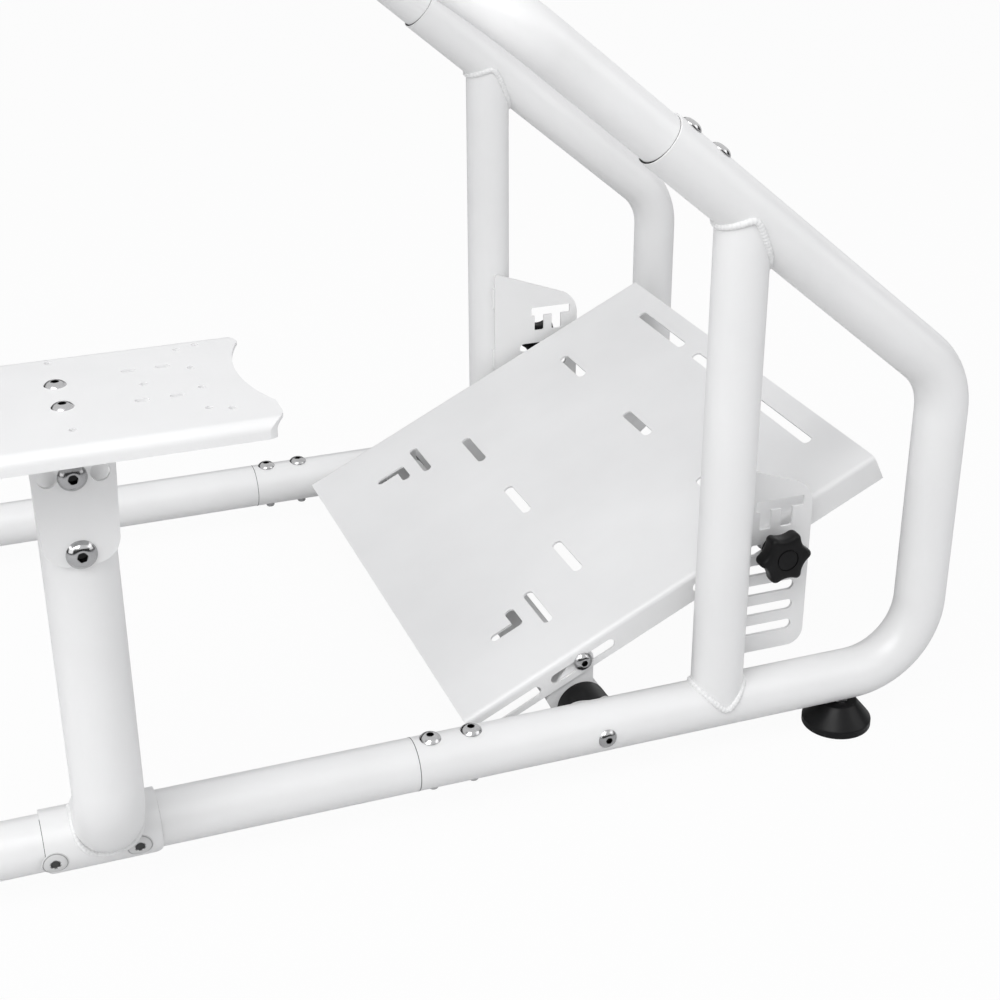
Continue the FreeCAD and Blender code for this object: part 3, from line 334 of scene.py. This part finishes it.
def loft(name, rings, joined=False):
    """A closed mesh through rings of points. A ring of one point is a pole; joined closes the stack."""
    form = bmesh.new()
    rows = [[form.verts.new(point) for point in ring] for ring in rings]
    pairs = list(zip(rows, rows[1:]))
    if joined:
        pairs.append((rows[-1], rows[0]))
    for low, high in pairs:
        count = max(len(low), len(high))
        for k in range(count):
            after = (k + 1) % count
            corners = []
            for ring, place in ((low, k), (low, after), (high, after), (high, k)):
                vert = ring[place % len(ring)]
                if vert not in corners:
                    corners.append(vert)
            form.faces.new(corners)
    bmesh.ops.recalc_face_normals(form, faces=form.faces)
    volume = form.calc_volume(signed=True)
    if volume < 0:
        bmesh.ops.reverse_faces(form, faces=form.faces)
    mesh = bpy.data.meshes.new(name)
    form.to_mesh(mesh)
    form.free()
    mesh.shade_smooth()
    mesh.set_sharp_from_angle(angle=CREASE)
    return mesh


def show(name, mesh, slot, body="frame"):
    """Puts a finished mesh in the scene, with its finish and its body."""
    piece = bpy.data.objects.new(name, mesh)
    bpy.context.scene.collection.objects.link(piece)
    mesh.materials.clear()
    mesh.materials.append(finishes[slot])
    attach(piece, body)
    return piece


def circle(radius, height, count):
    """A level ring of points, or its pole."""
    if radius == 0:
        return [Vector((0, 0, height))]
    turns = [math.tau * k / count for k in range(count)]
    return [Vector((radius * math.cos(t), radius * math.sin(t), height)) for t in turns]


def hexagon(corner, height, count):
    """A level six-cornered ring with as many points as a circle, so that the two can be joined."""
    ring = []
    for k in range(count):
        angle = math.tau * k / count
        radius = corner * math.cos(math.pi / 6) / math.cos(angle % (math.pi / 3) - math.pi / 6)
        ring.append(Vector((radius * math.cos(angle), radius * math.sin(angle), height)))
    return ring


print("a crease starts at", round(math.degrees(CREASE)), "degrees")

# %% [markdown]
# ## Screws, nuts and washers
# The pieces that slide together are held by dome head screws with a hexagon socket, as flat-pack
# furniture is. One head is lofted a metre wide, and a small node tree puts a copy on each point, turned
# to the way the screw looks and scaled to its width. Each copy gets its own turn about its axis from a
# fixed seed, because nobody lines up sockets when tightening screws.

# %% The small solids
AROUND = 30
dome_profile = ((0.50, 0.0), (0.50, 0.035), (0.485, 0.055), (0.455, 0.10), (0.40, 0.155), (0.33, 0.205),
                (0.26, 0.235), (0.21, 0.245), (0.185, 0.245))
socket_profile = ((0.17, 0.235), (0.165, 0.09))
SOCKET_FLOOR = 0.07


def rounds(profile):
    """Round rings from (radius, height) pairs."""
    return [circle(radius, height, AROUND) for radius, height in profile]


def six_sided(profile):
    """Six-cornered rings from (corner radius, height) pairs."""
    return [hexagon(corner, height, AROUND) for corner, height in profile]


dome_head = loft("dome_head", rounds(((0, 0),)) + rounds(dome_profile) + six_sided(socket_profile)
                 + rounds(((0, SOCKET_FLOOR),)))
screw_tip = loft("screw_tip", rounds(((0, 0), (0.5, 0), (0.5, 0.50), (0.42, 0.62), (0.28, 0.68), (0, 0.70))))
hex_nut = loft("hex_nut", rounds(((0.27, 0), (0.48, 0))) + six_sided(((0.5775, 0.035), (0.5775, 0.465)))
               + rounds(((0.48, 0.50), (0.27, 0.50))), joined=True)
washer = loft("washer", rounds(((0.26, 0), (0.49, 0), (0.50, 0.012), (0.50, 0.068), (0.49, 0.08),
                                (0.26, 0.08))), joined=True)
foot_nut = loft("foot_nut", rounds(((0.503, 0), (0.55, 0))) + six_sided(((0.583, 0.012), (0.583, 0.148)))
                + rounds(((0.55, 0.16), (0.503, 0.16))), joined=True)


def paint_shade_and_tone(mesh, shares):
    """Gives each point a share from 0 to 1 of darkening: painted shade in sockets and grooves, and a darker
    tone on some heads. The finish is darker by that share.
    """
    mesh.attributes.new("shade_and_tone", "FLOAT", "POINT").data.foreach_set("value", shares)


def in_socket(across, height, width=1.0):
    """Whether a point of a dome head lies in its socket, by its distances from the axis and the seat."""
    return across < 0.18 * width and 0.05 * width < height < 0.24 * width


# Painted shade: the socket of every dome head is darkened to near black.
paint_shade_and_tone(dome_head, [float(in_socket(math.hypot(vert.co.x, vert.co.y), vert.co.z))
                        for vert in dome_head.vertices])
for solid in (dome_head, screw_tip, hex_nut, washer, foot_nut):
    print(solid.name, len(solid.polygons), "faces")

# %% The tree that places them


def add_input(tree, name, kind, value=None):
    """A named input of a node tree."""
    socket = tree.interface.new_socket(name, in_out="INPUT", socket_type=kind)
    if value is not None:
        socket.default_value = value
    return socket


def fastener_tree():
    """A copy of the small solid on every point, turned to its aim, scaled to its width."""
    tree = bpy.data.node_groups.new("place_fasteners", "GeometryNodeTree")
    add_input(tree, "Geometry", "NodeSocketGeometry")
    add_input(tree, "Solid", "NodeSocketObject")
    add_input(tree, "Finish", "NodeSocketMaterial")
    add_input(tree, "Turn Seed", "NodeSocketInt", 7)
    tree.interface.new_socket("Geometry", in_out="OUTPUT", socket_type="NodeSocketGeometry")
    new, link = tree.nodes.new, tree.links.new
    given, result = new("NodeGroupInput"), new("NodeGroupOutput")
    aim, width = new("GeometryNodeInputNamedAttribute"), new("GeometryNodeInputNamedAttribute")
    aim.data_type = "FLOAT_VECTOR"
    aim.inputs["Name"].default_value = "aim"
    width.data_type = "FLOAT"
    width.inputs["Name"].default_value = "width"
    facing = new("FunctionNodeAlignRotationToVector")
    facing.axis = "Z"
    link(aim.outputs["Attribute"], facing.inputs["Vector"])
    chance = new("FunctionNodeRandomValue")
    chance.data_type = "FLOAT"
    chance.inputs[3].default_value = math.tau
    link(given.outputs["Turn Seed"], chance.inputs["Seed"])
    spin = new("FunctionNodeAxisAngleToRotation")
    link(chance.outputs[1], spin.inputs["Angle"])
    turned = new("FunctionNodeRotateRotation")
    turned.rotation_space = "LOCAL"
    link(facing.outputs["Rotation"], turned.inputs["Rotation"])
    link(spin.outputs["Rotation"], turned.inputs["Rotate By"])
    solid = new("GeometryNodeObjectInfo")
    link(given.outputs["Solid"], solid.inputs["Object"])
    copies = new("GeometryNodeInstanceOnPoints")
    link(given.outputs["Geometry"], copies.inputs["Points"])
    link(solid.outputs["Geometry"], copies.inputs["Instance"])
    link(turned.outputs["Rotation"], copies.inputs["Rotation"])
    link(width.outputs["Attribute"], copies.inputs["Scale"])
    real, paint = new("GeometryNodeRealizeInstances"), new("GeometryNodeSetMaterial")
    link(copies.outputs["Instances"], real.inputs["Geometry"])
    link(real.outputs["Geometry"], paint.inputs["Geometry"])
    link(given.outputs["Finish"], paint.inputs["Material"])
    link(paint.outputs["Geometry"], result.inputs["Geometry"])
    return tree


def run_tree(name, carrier_mesh, tree, values):
    """Runs a node tree on a mesh once and returns the result as a plain mesh."""
    carrier = bpy.data.objects.new(name + "_carrier", carrier_mesh)
    modifier = carrier.modifiers.new("tree", "NODES")
    modifier.node_group = tree
    for socket in tree.interface.items_tree:
        if socket.in_out == "INPUT" and socket.name in values:
            modifier[socket.identifier] = values[socket.name]
    bpy.context.scene.collection.objects.link(carrier)
    evaluated = carrier.evaluated_get(bpy.context.evaluated_depsgraph_get())
    mesh = bpy.data.meshes.new_from_object(evaluated)
    bpy.data.objects.remove(carrier)
    mesh.name = name
    return mesh


FASTENERS = fastener_tree()


def fasten(name, solid_mesh, slot, places, seed=7):
    """Copies of a small solid at a list of (point, aim, width), as one piece of the frame."""
    points = bpy.data.meshes.new(name + "_points")
    points.from_pydata([place for place, _, _ in places], [], [])
    points.attributes.new("aim", "FLOAT_VECTOR", "POINT").data.foreach_set(
        "vector", [number for _, aim, _ in places for number in aim])
    points.attributes.new("width", "FLOAT", "POINT").data.foreach_set(
        "value", [width for _, _, width in places])
    solid = bpy.data.objects.new(name + "_solid", solid_mesh)
    bpy.context.scene.collection.objects.link(solid)
    mesh = run_tree(name, points, FASTENERS, {"Solid": solid, "Finish": finishes[slot], "Turn Seed": seed})
    bpy.data.objects.remove(solid)
    print(name, len(places), "copies,", len(mesh.polygons), "faces")
    return show(name, mesh, slot)


# %% [markdown]
# ## Where the screws sit
# Two screws hold each rail in its side loop from above, with their tips showing below. Two more hold
# the steering hoop in each slope tube. One goes through each side loop into the end of the pedal cross
# tube, and the shifter stand has its own. A head on a round tube bites a little into the coat, so it
# starts just below the tube's crest.

# %% Places of the dome heads
BITE = 0.0012
RAIL_HEAD, SLOPE_HEAD, CROSS_HEAD, SHELF_HEAD = 0.020, 0.0196, 0.0184, 0.0175
TIP_WIDTH, TIP_SHIFT = 0.0095, 0.002
SHELF_BITE = 0.0014
slope_run = Vector((-math.cos(SLOPE), 0, math.sin(SLOPE)))
slope_up = Vector((math.sin(SLOPE), 0, math.cos(SLOPE)))
heads = []
tips = []
for sign in SIDES.values():
    for x in (-0.2799, -0.2419):
        heads.append((Vector((x, sign * LOOP_Y, RAIL_Z + TUBE - BITE)), (0, 0, 1), RAIL_HEAD))
        tips.append((Vector((x + TIP_SHIFT, sign * LOOP_Y, RAIL_Z - TUBE + BITE)), (0, 0, -1), TIP_WIDTH))
    for along in (0.0504, 0.0855):
        axis = Vector((0, sign * LOOP_Y, SLOPE_Z)) + slope_run * along
        heads.append((axis + slope_up * (TUBE - BITE), slope_up, SLOPE_HEAD))
    heads.append((Vector((CROSS_X, sign * (LOOP_Y + TUBE - BITE), RAIL_Z)), (0, sign, 0), CROSS_HEAD))
for x, y in ((-0.5650, -0.3440), (-0.5655, -0.3870)):
    heads.append((Vector((x, y, SHELF_TOP - SHELF_BITE)), (0, 0, 1), SHELF_HEAD))
TONGUE_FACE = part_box("shifter_bracket")[0].y
heads.append((Vector((-0.5654, TONGUE_FACE + 0.0002, 0.3538)), (0, -1, 0), 0.0228))
heads.append((Vector((-0.5655, TONGUE_FACE + 0.0002, 0.4150)), (0, -1, 0), 0.0213))
fasten("dome_head_screws", dome_head, "bright_steel", heads)
fasten("screw_tips", screw_tip, "bright_steel", tips)

# %% Nuts and washers of the clamp studs and the feet
nuts, washers = [], []
for sign in SIDES.values():
    washers.append((Vector((STUD_X, sign * (BRACKET_FACE - 0.0031), STUD_Z)), (0, -sign, 0), 0.0185))
    nuts.append((Vector((STUD_X, sign * (BRACKET_FACE - 0.0046), STUD_Z)), (0, -sign, 0), 0.0130))
fasten("clamp_washers", washer, "bright_steel", washers)
fasten("clamp_nuts", hex_nut, "bright_steel", nuts)
foot_nuts = []
for side in SIDES:
    for end in ("front", "rear"):
        low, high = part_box("%s_%s_foot" % (side, end))
        top = Vector(((low.x + high.x) / 2, (low.y + high.y) / 2, high.z + 0.0001))
        foot_nuts.append((top, (0, 0, 1), 0.017))
fasten("foot_nuts", foot_nut, "bright_steel", foot_nuts, seed=11)

# %% [markdown]
# ## Flush screws of the half sleeve
# The half sleeve is drawn onto the rail by two flat screws beside the post. Each lies flush in a pressed
# seat that follows the round sleeve, so its outlines are bent round the rail's axis instead of lying
# flat. It wears the sleeve's own white coat. The socket gets full painted shade, the narrow groove round
# the head more than half of that as a painted shadow line, and the head a slightly darker tone, so that it
# shows against the sleeve.

# %% Flush screws
SCREW_DROP = math.radians(10)
SEAT_AROUND = 48
SOCKET_SHADE, GROOVE_SHADE, HEAD_TONE = 1.0, 0.6, 0.2


def bend_on_sleeve(rings, x):
    """Lays level rings on the outer side of the half sleeve: across along x, height away from the rail."""
    bent = []
    for ring in rings:
        bent.append([])
        for point in ring:
            turn = SCREW_DROP - point.y / SLEEVE
            reach = SLEEVE + point.z
            bent[-1].append(Vector((x + point.x, -LOOP_Y - reach * math.cos(turn),
                                    RAIL_Z - reach * math.sin(turn))))
    return bent


seat_profile = ((0.0052, 0.0012), (0.0086, 0.0011), (0.0094, 0.0008), (0.0097, 0.0002), (0.0102, 0.0002),
                (0.0104, 0.0005), (0.0109, 0.0004), (0.0113, -0.0003), (0, -0.0006))
screw_rings = [circle(0, 0.0003, SEAT_AROUND), hexagon(0.0040, 0.0003, SEAT_AROUND),
               hexagon(0.0044, 0.0010, SEAT_AROUND)]
screw_rings += [circle(radius, height, SEAT_AROUND) for radius, height in seat_profile]
# Painted shade in the socket and in the groove round the head. The rest of the head gets a slightly darker
# tone.
shares = []
for point in (point for ring in screw_rings for point in ring):
    across = math.hypot(point.x, point.y)
    if across < 0.0041 and point.z > 0:
        shares.append(SOCKET_SHADE)
    else:
        shares.append(GROOVE_SHADE if 0.0096 < across < 0.0103 else HEAD_TONE)
for name, x in (("rear", -0.6103), ("front", -0.5415)):
    mesh = loft("sleeve_screw_" + name, bend_on_sleeve(screw_rings, x))
    paint_shade_and_tone(mesh, shares)
    show("sleeve_screw_" + name, mesh, "white_coat")
print("two flush screws in the half sleeve")

# %% [markdown]
# ## Pivot bolts
# The pedal plate turns on a bolt at each side. The measured bolt has a plain round head and nut, so a
# lofted one with a socket and six sides takes its place.

# %% Pivot bolts
HEAD, GRIP, SHANK = 0.018, 0.0059, 0.004
NUT, NUT_FACE, NUT_CORNER = 0.0065, 0.0062, 0.0075


def stand(rings, place, aim):
    """Turns level rings so that their upward direction becomes the aim, and moves them to a place."""
    turn = Vector((0, 0, 1)).rotation_difference(Vector(aim))
    return [[turn @ point + place for point in ring] for ring in rings]


bolt_rings = rounds(((0, SOCKET_FLOOR * HEAD),))
bolt_rings += six_sided([(corner * HEAD, height * HEAD) for corner, height in reversed(socket_profile)])
bolt_rings += rounds([(radius * HEAD, height * HEAD) for radius, height in reversed(dome_profile)])
bolt_rings += rounds(((SHANK, 0), (SHANK, -GRIP), (NUT_FACE, -GRIP)))
bolt_rings += six_sided(((NUT_CORNER, -GRIP - 0.0005), (NUT_CORNER, 0.0006 - GRIP - NUT)))
bolt_rings += rounds(((NUT_FACE, -GRIP - NUT), (0, -GRIP - NUT)))
for side, sign in SIDES.items():
    low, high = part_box(side + "_pivot_bolt")
    outer = high.y if sign > 0 else -low.y
    base = Vector(((low.x + high.x) / 2, sign * (outer - 0.0055), (low.z + high.z) / 2))
    mesh = loft(side + "_pivot_screw", stand(bolt_rings, base, (0, sign, 0)))
    # Painted shade: the socket of each pivot screw is darkened to near black.
    paint_shade_and_tone(mesh, [float(in_socket(math.hypot(vert.co.x - base.x, vert.co.z - base.z),
                                       abs(vert.co.y) - abs(base.y), HEAD)) for vert in mesh.vertices])
    bolt = show(side + "_pivot_screw", mesh, "bright_steel")
    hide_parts(side + "_pivot_bolt")
    print(bolt.name, len(bolt.data.polygons), "faces")

# %% [markdown]
# ## Weld beads
# A bead is a row of small overlapping puddles, and powder coat rounds it further. Each bead follows the
# line where two tubes meet, worked out from their radii. A node tree lays it: the line is divided
# evenly, its thickness ripples with the distance along it, and a round section is swept along.

# %% The bead tree


def bead_tree():
    """Sweeps a rippled round section along the edges of a mesh."""
    tree = bpy.data.node_groups.new("lay_beads", "GeometryNodeTree")
    add_input(tree, "Geometry", "NodeSocketGeometry")
    add_input(tree, "Thickness", "NodeSocketFloat", 0.005)
    add_input(tree, "Step", "NodeSocketFloat", 0.0007)
    add_input(tree, "Ripple Length", "NodeSocketFloat", 0.0034)
    add_input(tree, "Ripple", "NodeSocketFloat", 0.09)
    add_input(tree, "Unevenness", "NodeSocketFloat", 0.35)
    add_input(tree, "Finish", "NodeSocketMaterial")
    tree.interface.new_socket("Geometry", in_out="OUTPUT", socket_type="NodeSocketGeometry")
    new, link = tree.nodes.new, tree.links.new
    given, result = new("NodeGroupInput"), new("NodeGroupOutput")

    def maths(operation, first, second):
        node = new("ShaderNodeMath")
        node.operation = operation
        for socket, value in zip(node.inputs, (first, second)):
            if hasattr(value, "is_linked"):
                link(value, socket)
            elif value is not None:
                socket.default_value = value
        return node.outputs[0]

    line, even = new("GeometryNodeMeshToCurve"), new("GeometryNodeResampleCurve")
    even.mode = "LENGTH"
    link(given.outputs["Geometry"], line.inputs["Mesh"])
    link(line.outputs["Curve"], even.inputs["Curve"])
    link(given.outputs["Step"], even.inputs["Length"])
    along, cloud = new("GeometryNodeSplineParameter"), new("ShaderNodeTexNoise")
    place = new("GeometryNodeInputPosition")
    cloud.inputs["Scale"].default_value = 120
    cloud.inputs["Detail"].default_value = 2
    link(place.outputs["Position"], cloud.inputs["Vector"])
    waves = maths("DIVIDE", along.outputs["Length"], given.outputs["Ripple Length"])
    phase = maths("MULTIPLY", waves, math.tau)
    ripple = maths("MULTIPLY", maths("SINE", phase, None), given.outputs["Ripple"])
    wander = maths("MULTIPLY", maths("SUBTRACT", cloud.outputs["Fac"], 0.5), given.outputs["Unevenness"])
    swell = maths("ADD", maths("ADD", ripple, wander), 1.0)
    radius = maths("MULTIPLY", maths("MULTIPLY", given.outputs["Thickness"], 0.5), swell)
    section = new("GeometryNodeCurvePrimitiveCircle")
    section.inputs["Resolution"].default_value = 10
    section.inputs["Radius"].default_value = 1
    swept = new("GeometryNodeCurveToMesh")
    swept.inputs["Fill Caps"].default_value = True
    link(even.outputs["Curve"], swept.inputs["Curve"])
    link(radius, swept.inputs["Scale"])
    link(section.outputs["Curve"], swept.inputs["Profile Curve"])
    real, paint = new("GeometryNodeRealizeInstances"), new("GeometryNodeSetMaterial")
    link(swept.outputs["Mesh"], real.inputs["Geometry"])
    link(real.outputs["Geometry"], paint.inputs["Geometry"])
    link(given.outputs["Finish"], paint.inputs["Material"])
    link(paint.outputs["Geometry"], result.inputs["Geometry"])
    return tree


BEADS = bead_tree()


def weld(name, lines, thickness):
    """Lays beads of one thickness along (points, is_closed) lines, as one piece of the frame."""
    points, edges = [], []
    for line, is_closed in lines:
        start = len(points)
        points += line
        edges += [(start + k, start + k + 1) for k in range(len(line) - 1)]
        if is_closed:
            edges.append((start + len(line) - 1, start))
    paths = bpy.data.meshes.new(name + "_paths")
    paths.from_pydata(points, edges, [])
    mesh = run_tree(name, paths, BEADS, {"Thickness": thickness, "Finish": white_coat})
    mesh.shade_smooth()
    print(name, len(lines), "beads,", len(mesh.polygons), "faces")
    return show(name, mesh, "white_coat")


# %% Lines where the tubes meet
TURN = [math.tau * k / 96 for k in range(96)]
KINK, CROSS_KINK = 0.004, 0.007


def soft_edge(value, least):
    """The size of a value, rounded off near nought so that a bead turns its corner smoothly."""
    return math.sqrt(value * value + least * least)


def round_post(sign, height):
    """A closed line round a post, whose height follows the distance along the frame."""
    return [Vector((TUBE * math.cos(t), sign * LOOP_Y + TUBE * math.sin(t), height(TUBE * math.cos(t))))
            for t in TURN]


def on_bottom_tube(run):
    """Height of the bottom tube's surface beside a post."""
    return RAIL_Z + soft_edge(run, KINK)


def on_slope_tube(run):
    """Height of the slope tube's underside beside a post."""
    return SLOPE_Z - (soft_edge(run, KINK) + run * math.sin(SLOPE)) / math.cos(SLOPE)


lines = []
for sign in SIDES.values():
    lines.append((round_post(sign, on_bottom_tube), True))
    lines.append((round_post(sign, on_slope_tube), True))
    lines.append(([Vector((REAR_X + TUBE * math.cos(t),
                           sign * (LOOP_Y - soft_edge(TUBE * math.cos(t), CROSS_KINK)),
                           RAIL_Z + TUBE * math.sin(t))) for t in TURN], True))
weld("tube_welds", lines, 0.0062)

# %% Beads of the shifter post, the tabs and the brackets
POST_RISE, LID_RISE = 0.022, 0.0266
POST_STEPS, ARC_STEPS = 60, 30
TAB_BEAD_R = 0.0243
post_line = []
lid_y = -LOOP_Y + 0.0055
top_angle = math.asin((LID_RISE - POST_RISE) / SHIFTER_TUBE)
for k in range(POST_STEPS + 1):
    t = -math.pi / 2 - (math.pi / 2 + top_angle) + (math.pi + 2 * top_angle) * k / POST_STEPS
    z = min(POST_RISE + SHIFTER_TUBE * math.sin(t), LID_RISE)
    post_line.append(Vector((SHIFTER_X + SHIFTER_TUBE * math.cos(t),
                             -LOOP_Y - math.sqrt(SLEEVE ** 2 - z ** 2), RAIL_Z + z)))
for x in (post_line[-1].x, post_line[0].x):
    post_line.append(Vector((x, lid_y, RAIL_Z + LID_RISE)))
weld("shifter_weld", [(post_line, True)], 0.0045)
tab_lines = []
for sign in SIDES.values():
    arc = [math.radians(62 + 118 * k / ARC_STEPS) for k in range(ARC_STEPS + 1)]
    tab_lines.append(([Vector((CROSS_X + TAB_BEAD_R * math.cos(t), sign * (TAB_Y - 0.0018),
                               RAIL_Z + TAB_BEAD_R * math.sin(t))) for t in arc], False))
    for low in (0.095, 0.170, 0.245):
        tab_lines.append(([Vector((-0.0032, sign * (BRACKET_FACE - 0.0012), low + 0.001 * k))
                           for k in range(26)], False))
weld("tab_welds", tab_lines, 0.0036)

# %% [markdown]
# ## Black ends of the pedal cross tube
# Between each pivot tab and its side loop the cross tube wears a black plastic collar of its own width,
# cut to the curve of the loop. It is a thin sleeve: one ring outside, one inside, at both ends.

# %% Collars
COLLAR, COLLAR_INSIDE = 0.0244, 0.02405


def loop_reach(z):
    """How far from the middle the side loop's inner face lies, at a height above its axis."""
    return LOOP_Y - soft_edge(math.sqrt(max(0, TUBE ** 2 - z ** 2)), CROSS_KINK)


for side, sign in SIDES.items():
    rings = []
    for radius, place in ((COLLAR_INSIDE, "tab"), (COLLAR - 0.0002, "tab"), (COLLAR, "edge"),
                          (COLLAR, "loop"), (COLLAR_INSIDE, "loop")):
        ring = []
        for t in TURN:
            z = radius * math.sin(t)
            y = {"tab": TAB_Y + 0.0017, "edge": TAB_Y + 0.0019, "loop": loop_reach(z) - 0.0002}[place]
            ring.append(Vector((CROSS_X + radius * math.cos(t), sign * y, RAIL_Z + z)))
        rings.append(ring)
    name = side + "_cross_tube_collar"
    collar = show(name, loft(name, rings, joined=True), "black_plastic")
    print(collar.name, len(collar.data.polygons), "faces")

# %% [markdown]
# ## Seams where one tube slides into another
# Where a rail enters its side loop, and where the half sleeve lies on the rail, a hair-wide gap shows as
# a dark line. Inside the open end of each slope tube the steering hoop rests against the top, so the
# gap is widest below. The shade in these gaps is painted: thin black rings and arcs at the seams, and a
# black crescent in the hoop gap.

# %% Seams
SEAM = 0.0005
SEAM_X, MOUTH = -0.296, 0.101
UNDER, OVER = TUBE - 0.0004, TUBE + 0.00012
SLEEVE_OVER, SLEEVE_SEAM = TUBE + 0.00015, 0.0004


def ring_of(centre, across, upward, radius):
    """A ring of points round a centre."""
    return [centre + (across * math.cos(t) + upward * math.sin(t)) * radius for t in TURN]


Y, Z = Vector((0, 1, 0)), Vector((0, 0, 1))
# Painted shade: a thin black ring at each rail seam and a black crescent in each hoop gap.
for side, sign in SIDES.items():
    rings = []
    for radius, shift in ((UNDER, -SEAM), (OVER, -SEAM), (OVER, SEAM), (UNDER, SEAM)):
        rings.append(ring_of(Vector((SEAM_X + shift * 0.5, sign * LOOP_Y, RAIL_Z)), Y, Z, radius))
    show(side + "_rail_seam", loft(side + "_rail_seam", rings, joined=True), "black_plastic")
    mouth = Vector((0, sign * LOOP_Y, SLOPE_Z)) + slope_run * MOUTH
    rings = []
    for inner, lift in ((True, -0.0003), (False, -0.0003), (False, 0.0002), (True, 0.0002)):
        ring = []
        for t in TURN:
            gap = 0.0002 + 0.0013 * max(0, -math.sin(t)) ** 1.5
            radius = TUBE - 0.0022 + (0 if inner else gap)
            ring.append(mouth + slope_run * lift + (Y * math.cos(t) + slope_up * math.sin(t)) * radius)
        rings.append(ring)
    show(side + "_hoop_gap", loft(side + "_hoop_gap", rings, joined=True), "black_plastic")
# Painted shade: a thin black arc at each end of the half sleeve.
low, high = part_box("shifter_saddle")
for name, x, out in (("rear", low.x, -1), ("front", high.x, 1)):
    arc = []
    for k in range(49):
        turn = math.radians(-86 + 172 * k / 48)
        away = -Y * math.cos(turn) + Z * math.sin(turn)
        arc.append([Vector((x + out * shift, -LOOP_Y, RAIL_Z)) + away * radius
                    for radius, shift in ((UNDER, 0.0), (SLEEVE_OVER, 0.0), (SLEEVE_OVER, SLEEVE_SEAM),
                                          (UNDER, SLEEVE_SEAM))])
    ends = [[sum(arc[k], Vector()) / 4] for k in (0, -1)]
    show("sleeve_seam_" + name, loft("sleeve_seam_" + name, [ends[0]] + arc + [ends[1]]), "black_plastic")
print("seams at the rails and gaps round the steering hoop")

# %% [markdown]
# ## Star knobs
# A moulded star knob has six lobes with round tips and shallow hollows, a rounded rim all the way
# round, a plain collar below and a round cap let into its face. The outline is worked out from three
# radii, and the stack of outlines blends from the round collar to the lobed head.

# %% Outline of the star
LOBES = 6
PEAK_R, VALLEY_R, TIP_ROUND, HOLLOW_ROUND = 0.02775, 0.018, 0.004, 0.020


def star_outline(count=120):
    """Radius of a six-pointed star at even angles, its points and its hollows rounded off."""
    half = math.pi / LOBES
    peak = Vector((PEAK_R, 0))
    valley = Vector((math.cos(half), math.sin(half))) * VALLEY_R
    run = (valley - peak).normalized()
    at_tip = math.atan2(run.y, -run.x)
    at_valley = at_tip + half
    tip_centre = PEAK_R - TIP_ROUND / math.sin(at_tip)
    hollow_centre = VALLEY_R + HOLLOW_ROUND / math.sin(at_valley)
    tip_end = peak + run * TIP_ROUND / math.tan(at_tip)
    hollow_end = valley - run * HOLLOW_ROUND / math.tan(at_valley)
    radii = []
    for k in range(count):
        angle = abs((math.tau * k / count + half) % (2 * half) - half)
        if angle < math.atan2(tip_end.y, tip_end.x):
            across = tip_centre * math.sin(angle)
            radii.append(tip_centre * math.cos(angle) + math.sqrt(TIP_ROUND ** 2 - across ** 2))
        elif angle > math.atan2(hollow_end.y, hollow_end.x):
            across = hollow_centre * math.sin(half - angle)
            radii.append(hollow_centre * math.cos(half - angle) - math.sqrt(HOLLOW_ROUND ** 2 - across ** 2))
        else:
            radii.append(PEAK_R * math.sin(at_tip) / math.sin(at_tip + angle))
    return radii


STAR = star_outline()
print("star from", round(min(STAR) * 1000, 2), "to", round(max(STAR) * 1000, 2), "mm")

# %% Knobs
BORE_R = 0.0043
KNOB_TURN = math.radians(4)
KNOB_SIZE = 1.03
# Radius, distance from the back, and how much of the star each outline has.
knob_profile = (
    (BORE_R, 0.0003, 0), (0.0122, 0.0003, 0), (0.0128, 0.0009, 0), (0.0128, 0.0085, 0),
    (0.0138, 0.0104, 0.05), (0.0200, 0.0110, 0.8), (0.0222, 0.0112, 1), (0.0236, 0.0120, 1),
    (0.0245, 0.0136, 1), (0.0250, 0.0160, 1), (0.0250, 0.0225, 1), (0.0247, 0.0243, 1),
    (0.0239, 0.0259, 1), (0.0226, 0.0271, 1), (0.0205, 0.0277, 0.9), (0.0150, 0.0280, 0.3),
    (0.0108, 0.0280, 0), (0.0106, 0.0268, 0), (0.0097, 0.0268, 0), (0.0095, 0.0279, 0),
    (0.0080, 0.0280, 0), (0, 0.0280, 0),
)
for side, sign in SIDES.items():
    low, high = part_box(side + "_knob")
    back = low.y if sign > 0 else -high.y
    stud_low, stud_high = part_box(side + "_clamp_stud")
    bore = (stud_high.y if sign > 0 else -stud_low.y) + 0.0005 - back
    rings = []
    for radius, along, lobed in ((0, bore, 0), (BORE_R, bore, 0)) + knob_profile:
        ring = []
        for k, star in enumerate(STAR):
            angle = math.tau * k / len(STAR) + KNOB_TURN
            reach = radius * (1 + lobed * (star / max(STAR) * KNOB_SIZE - 1))
            ring.append(Vector((STUD_X + reach * math.cos(angle), sign * (back + along),
                                STUD_Z + reach * math.sin(angle))))
        rings.append(ring if radius else ring[:1])
    name = side + "_star_knob"
    knob = show(name, loft(name, rings), "black_plastic", side + "_clamp_knob")
    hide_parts(side + "_knob")
    print(knob.name, len(knob.data.polygons), "faces, bore", round(bore, 4), "m deep")
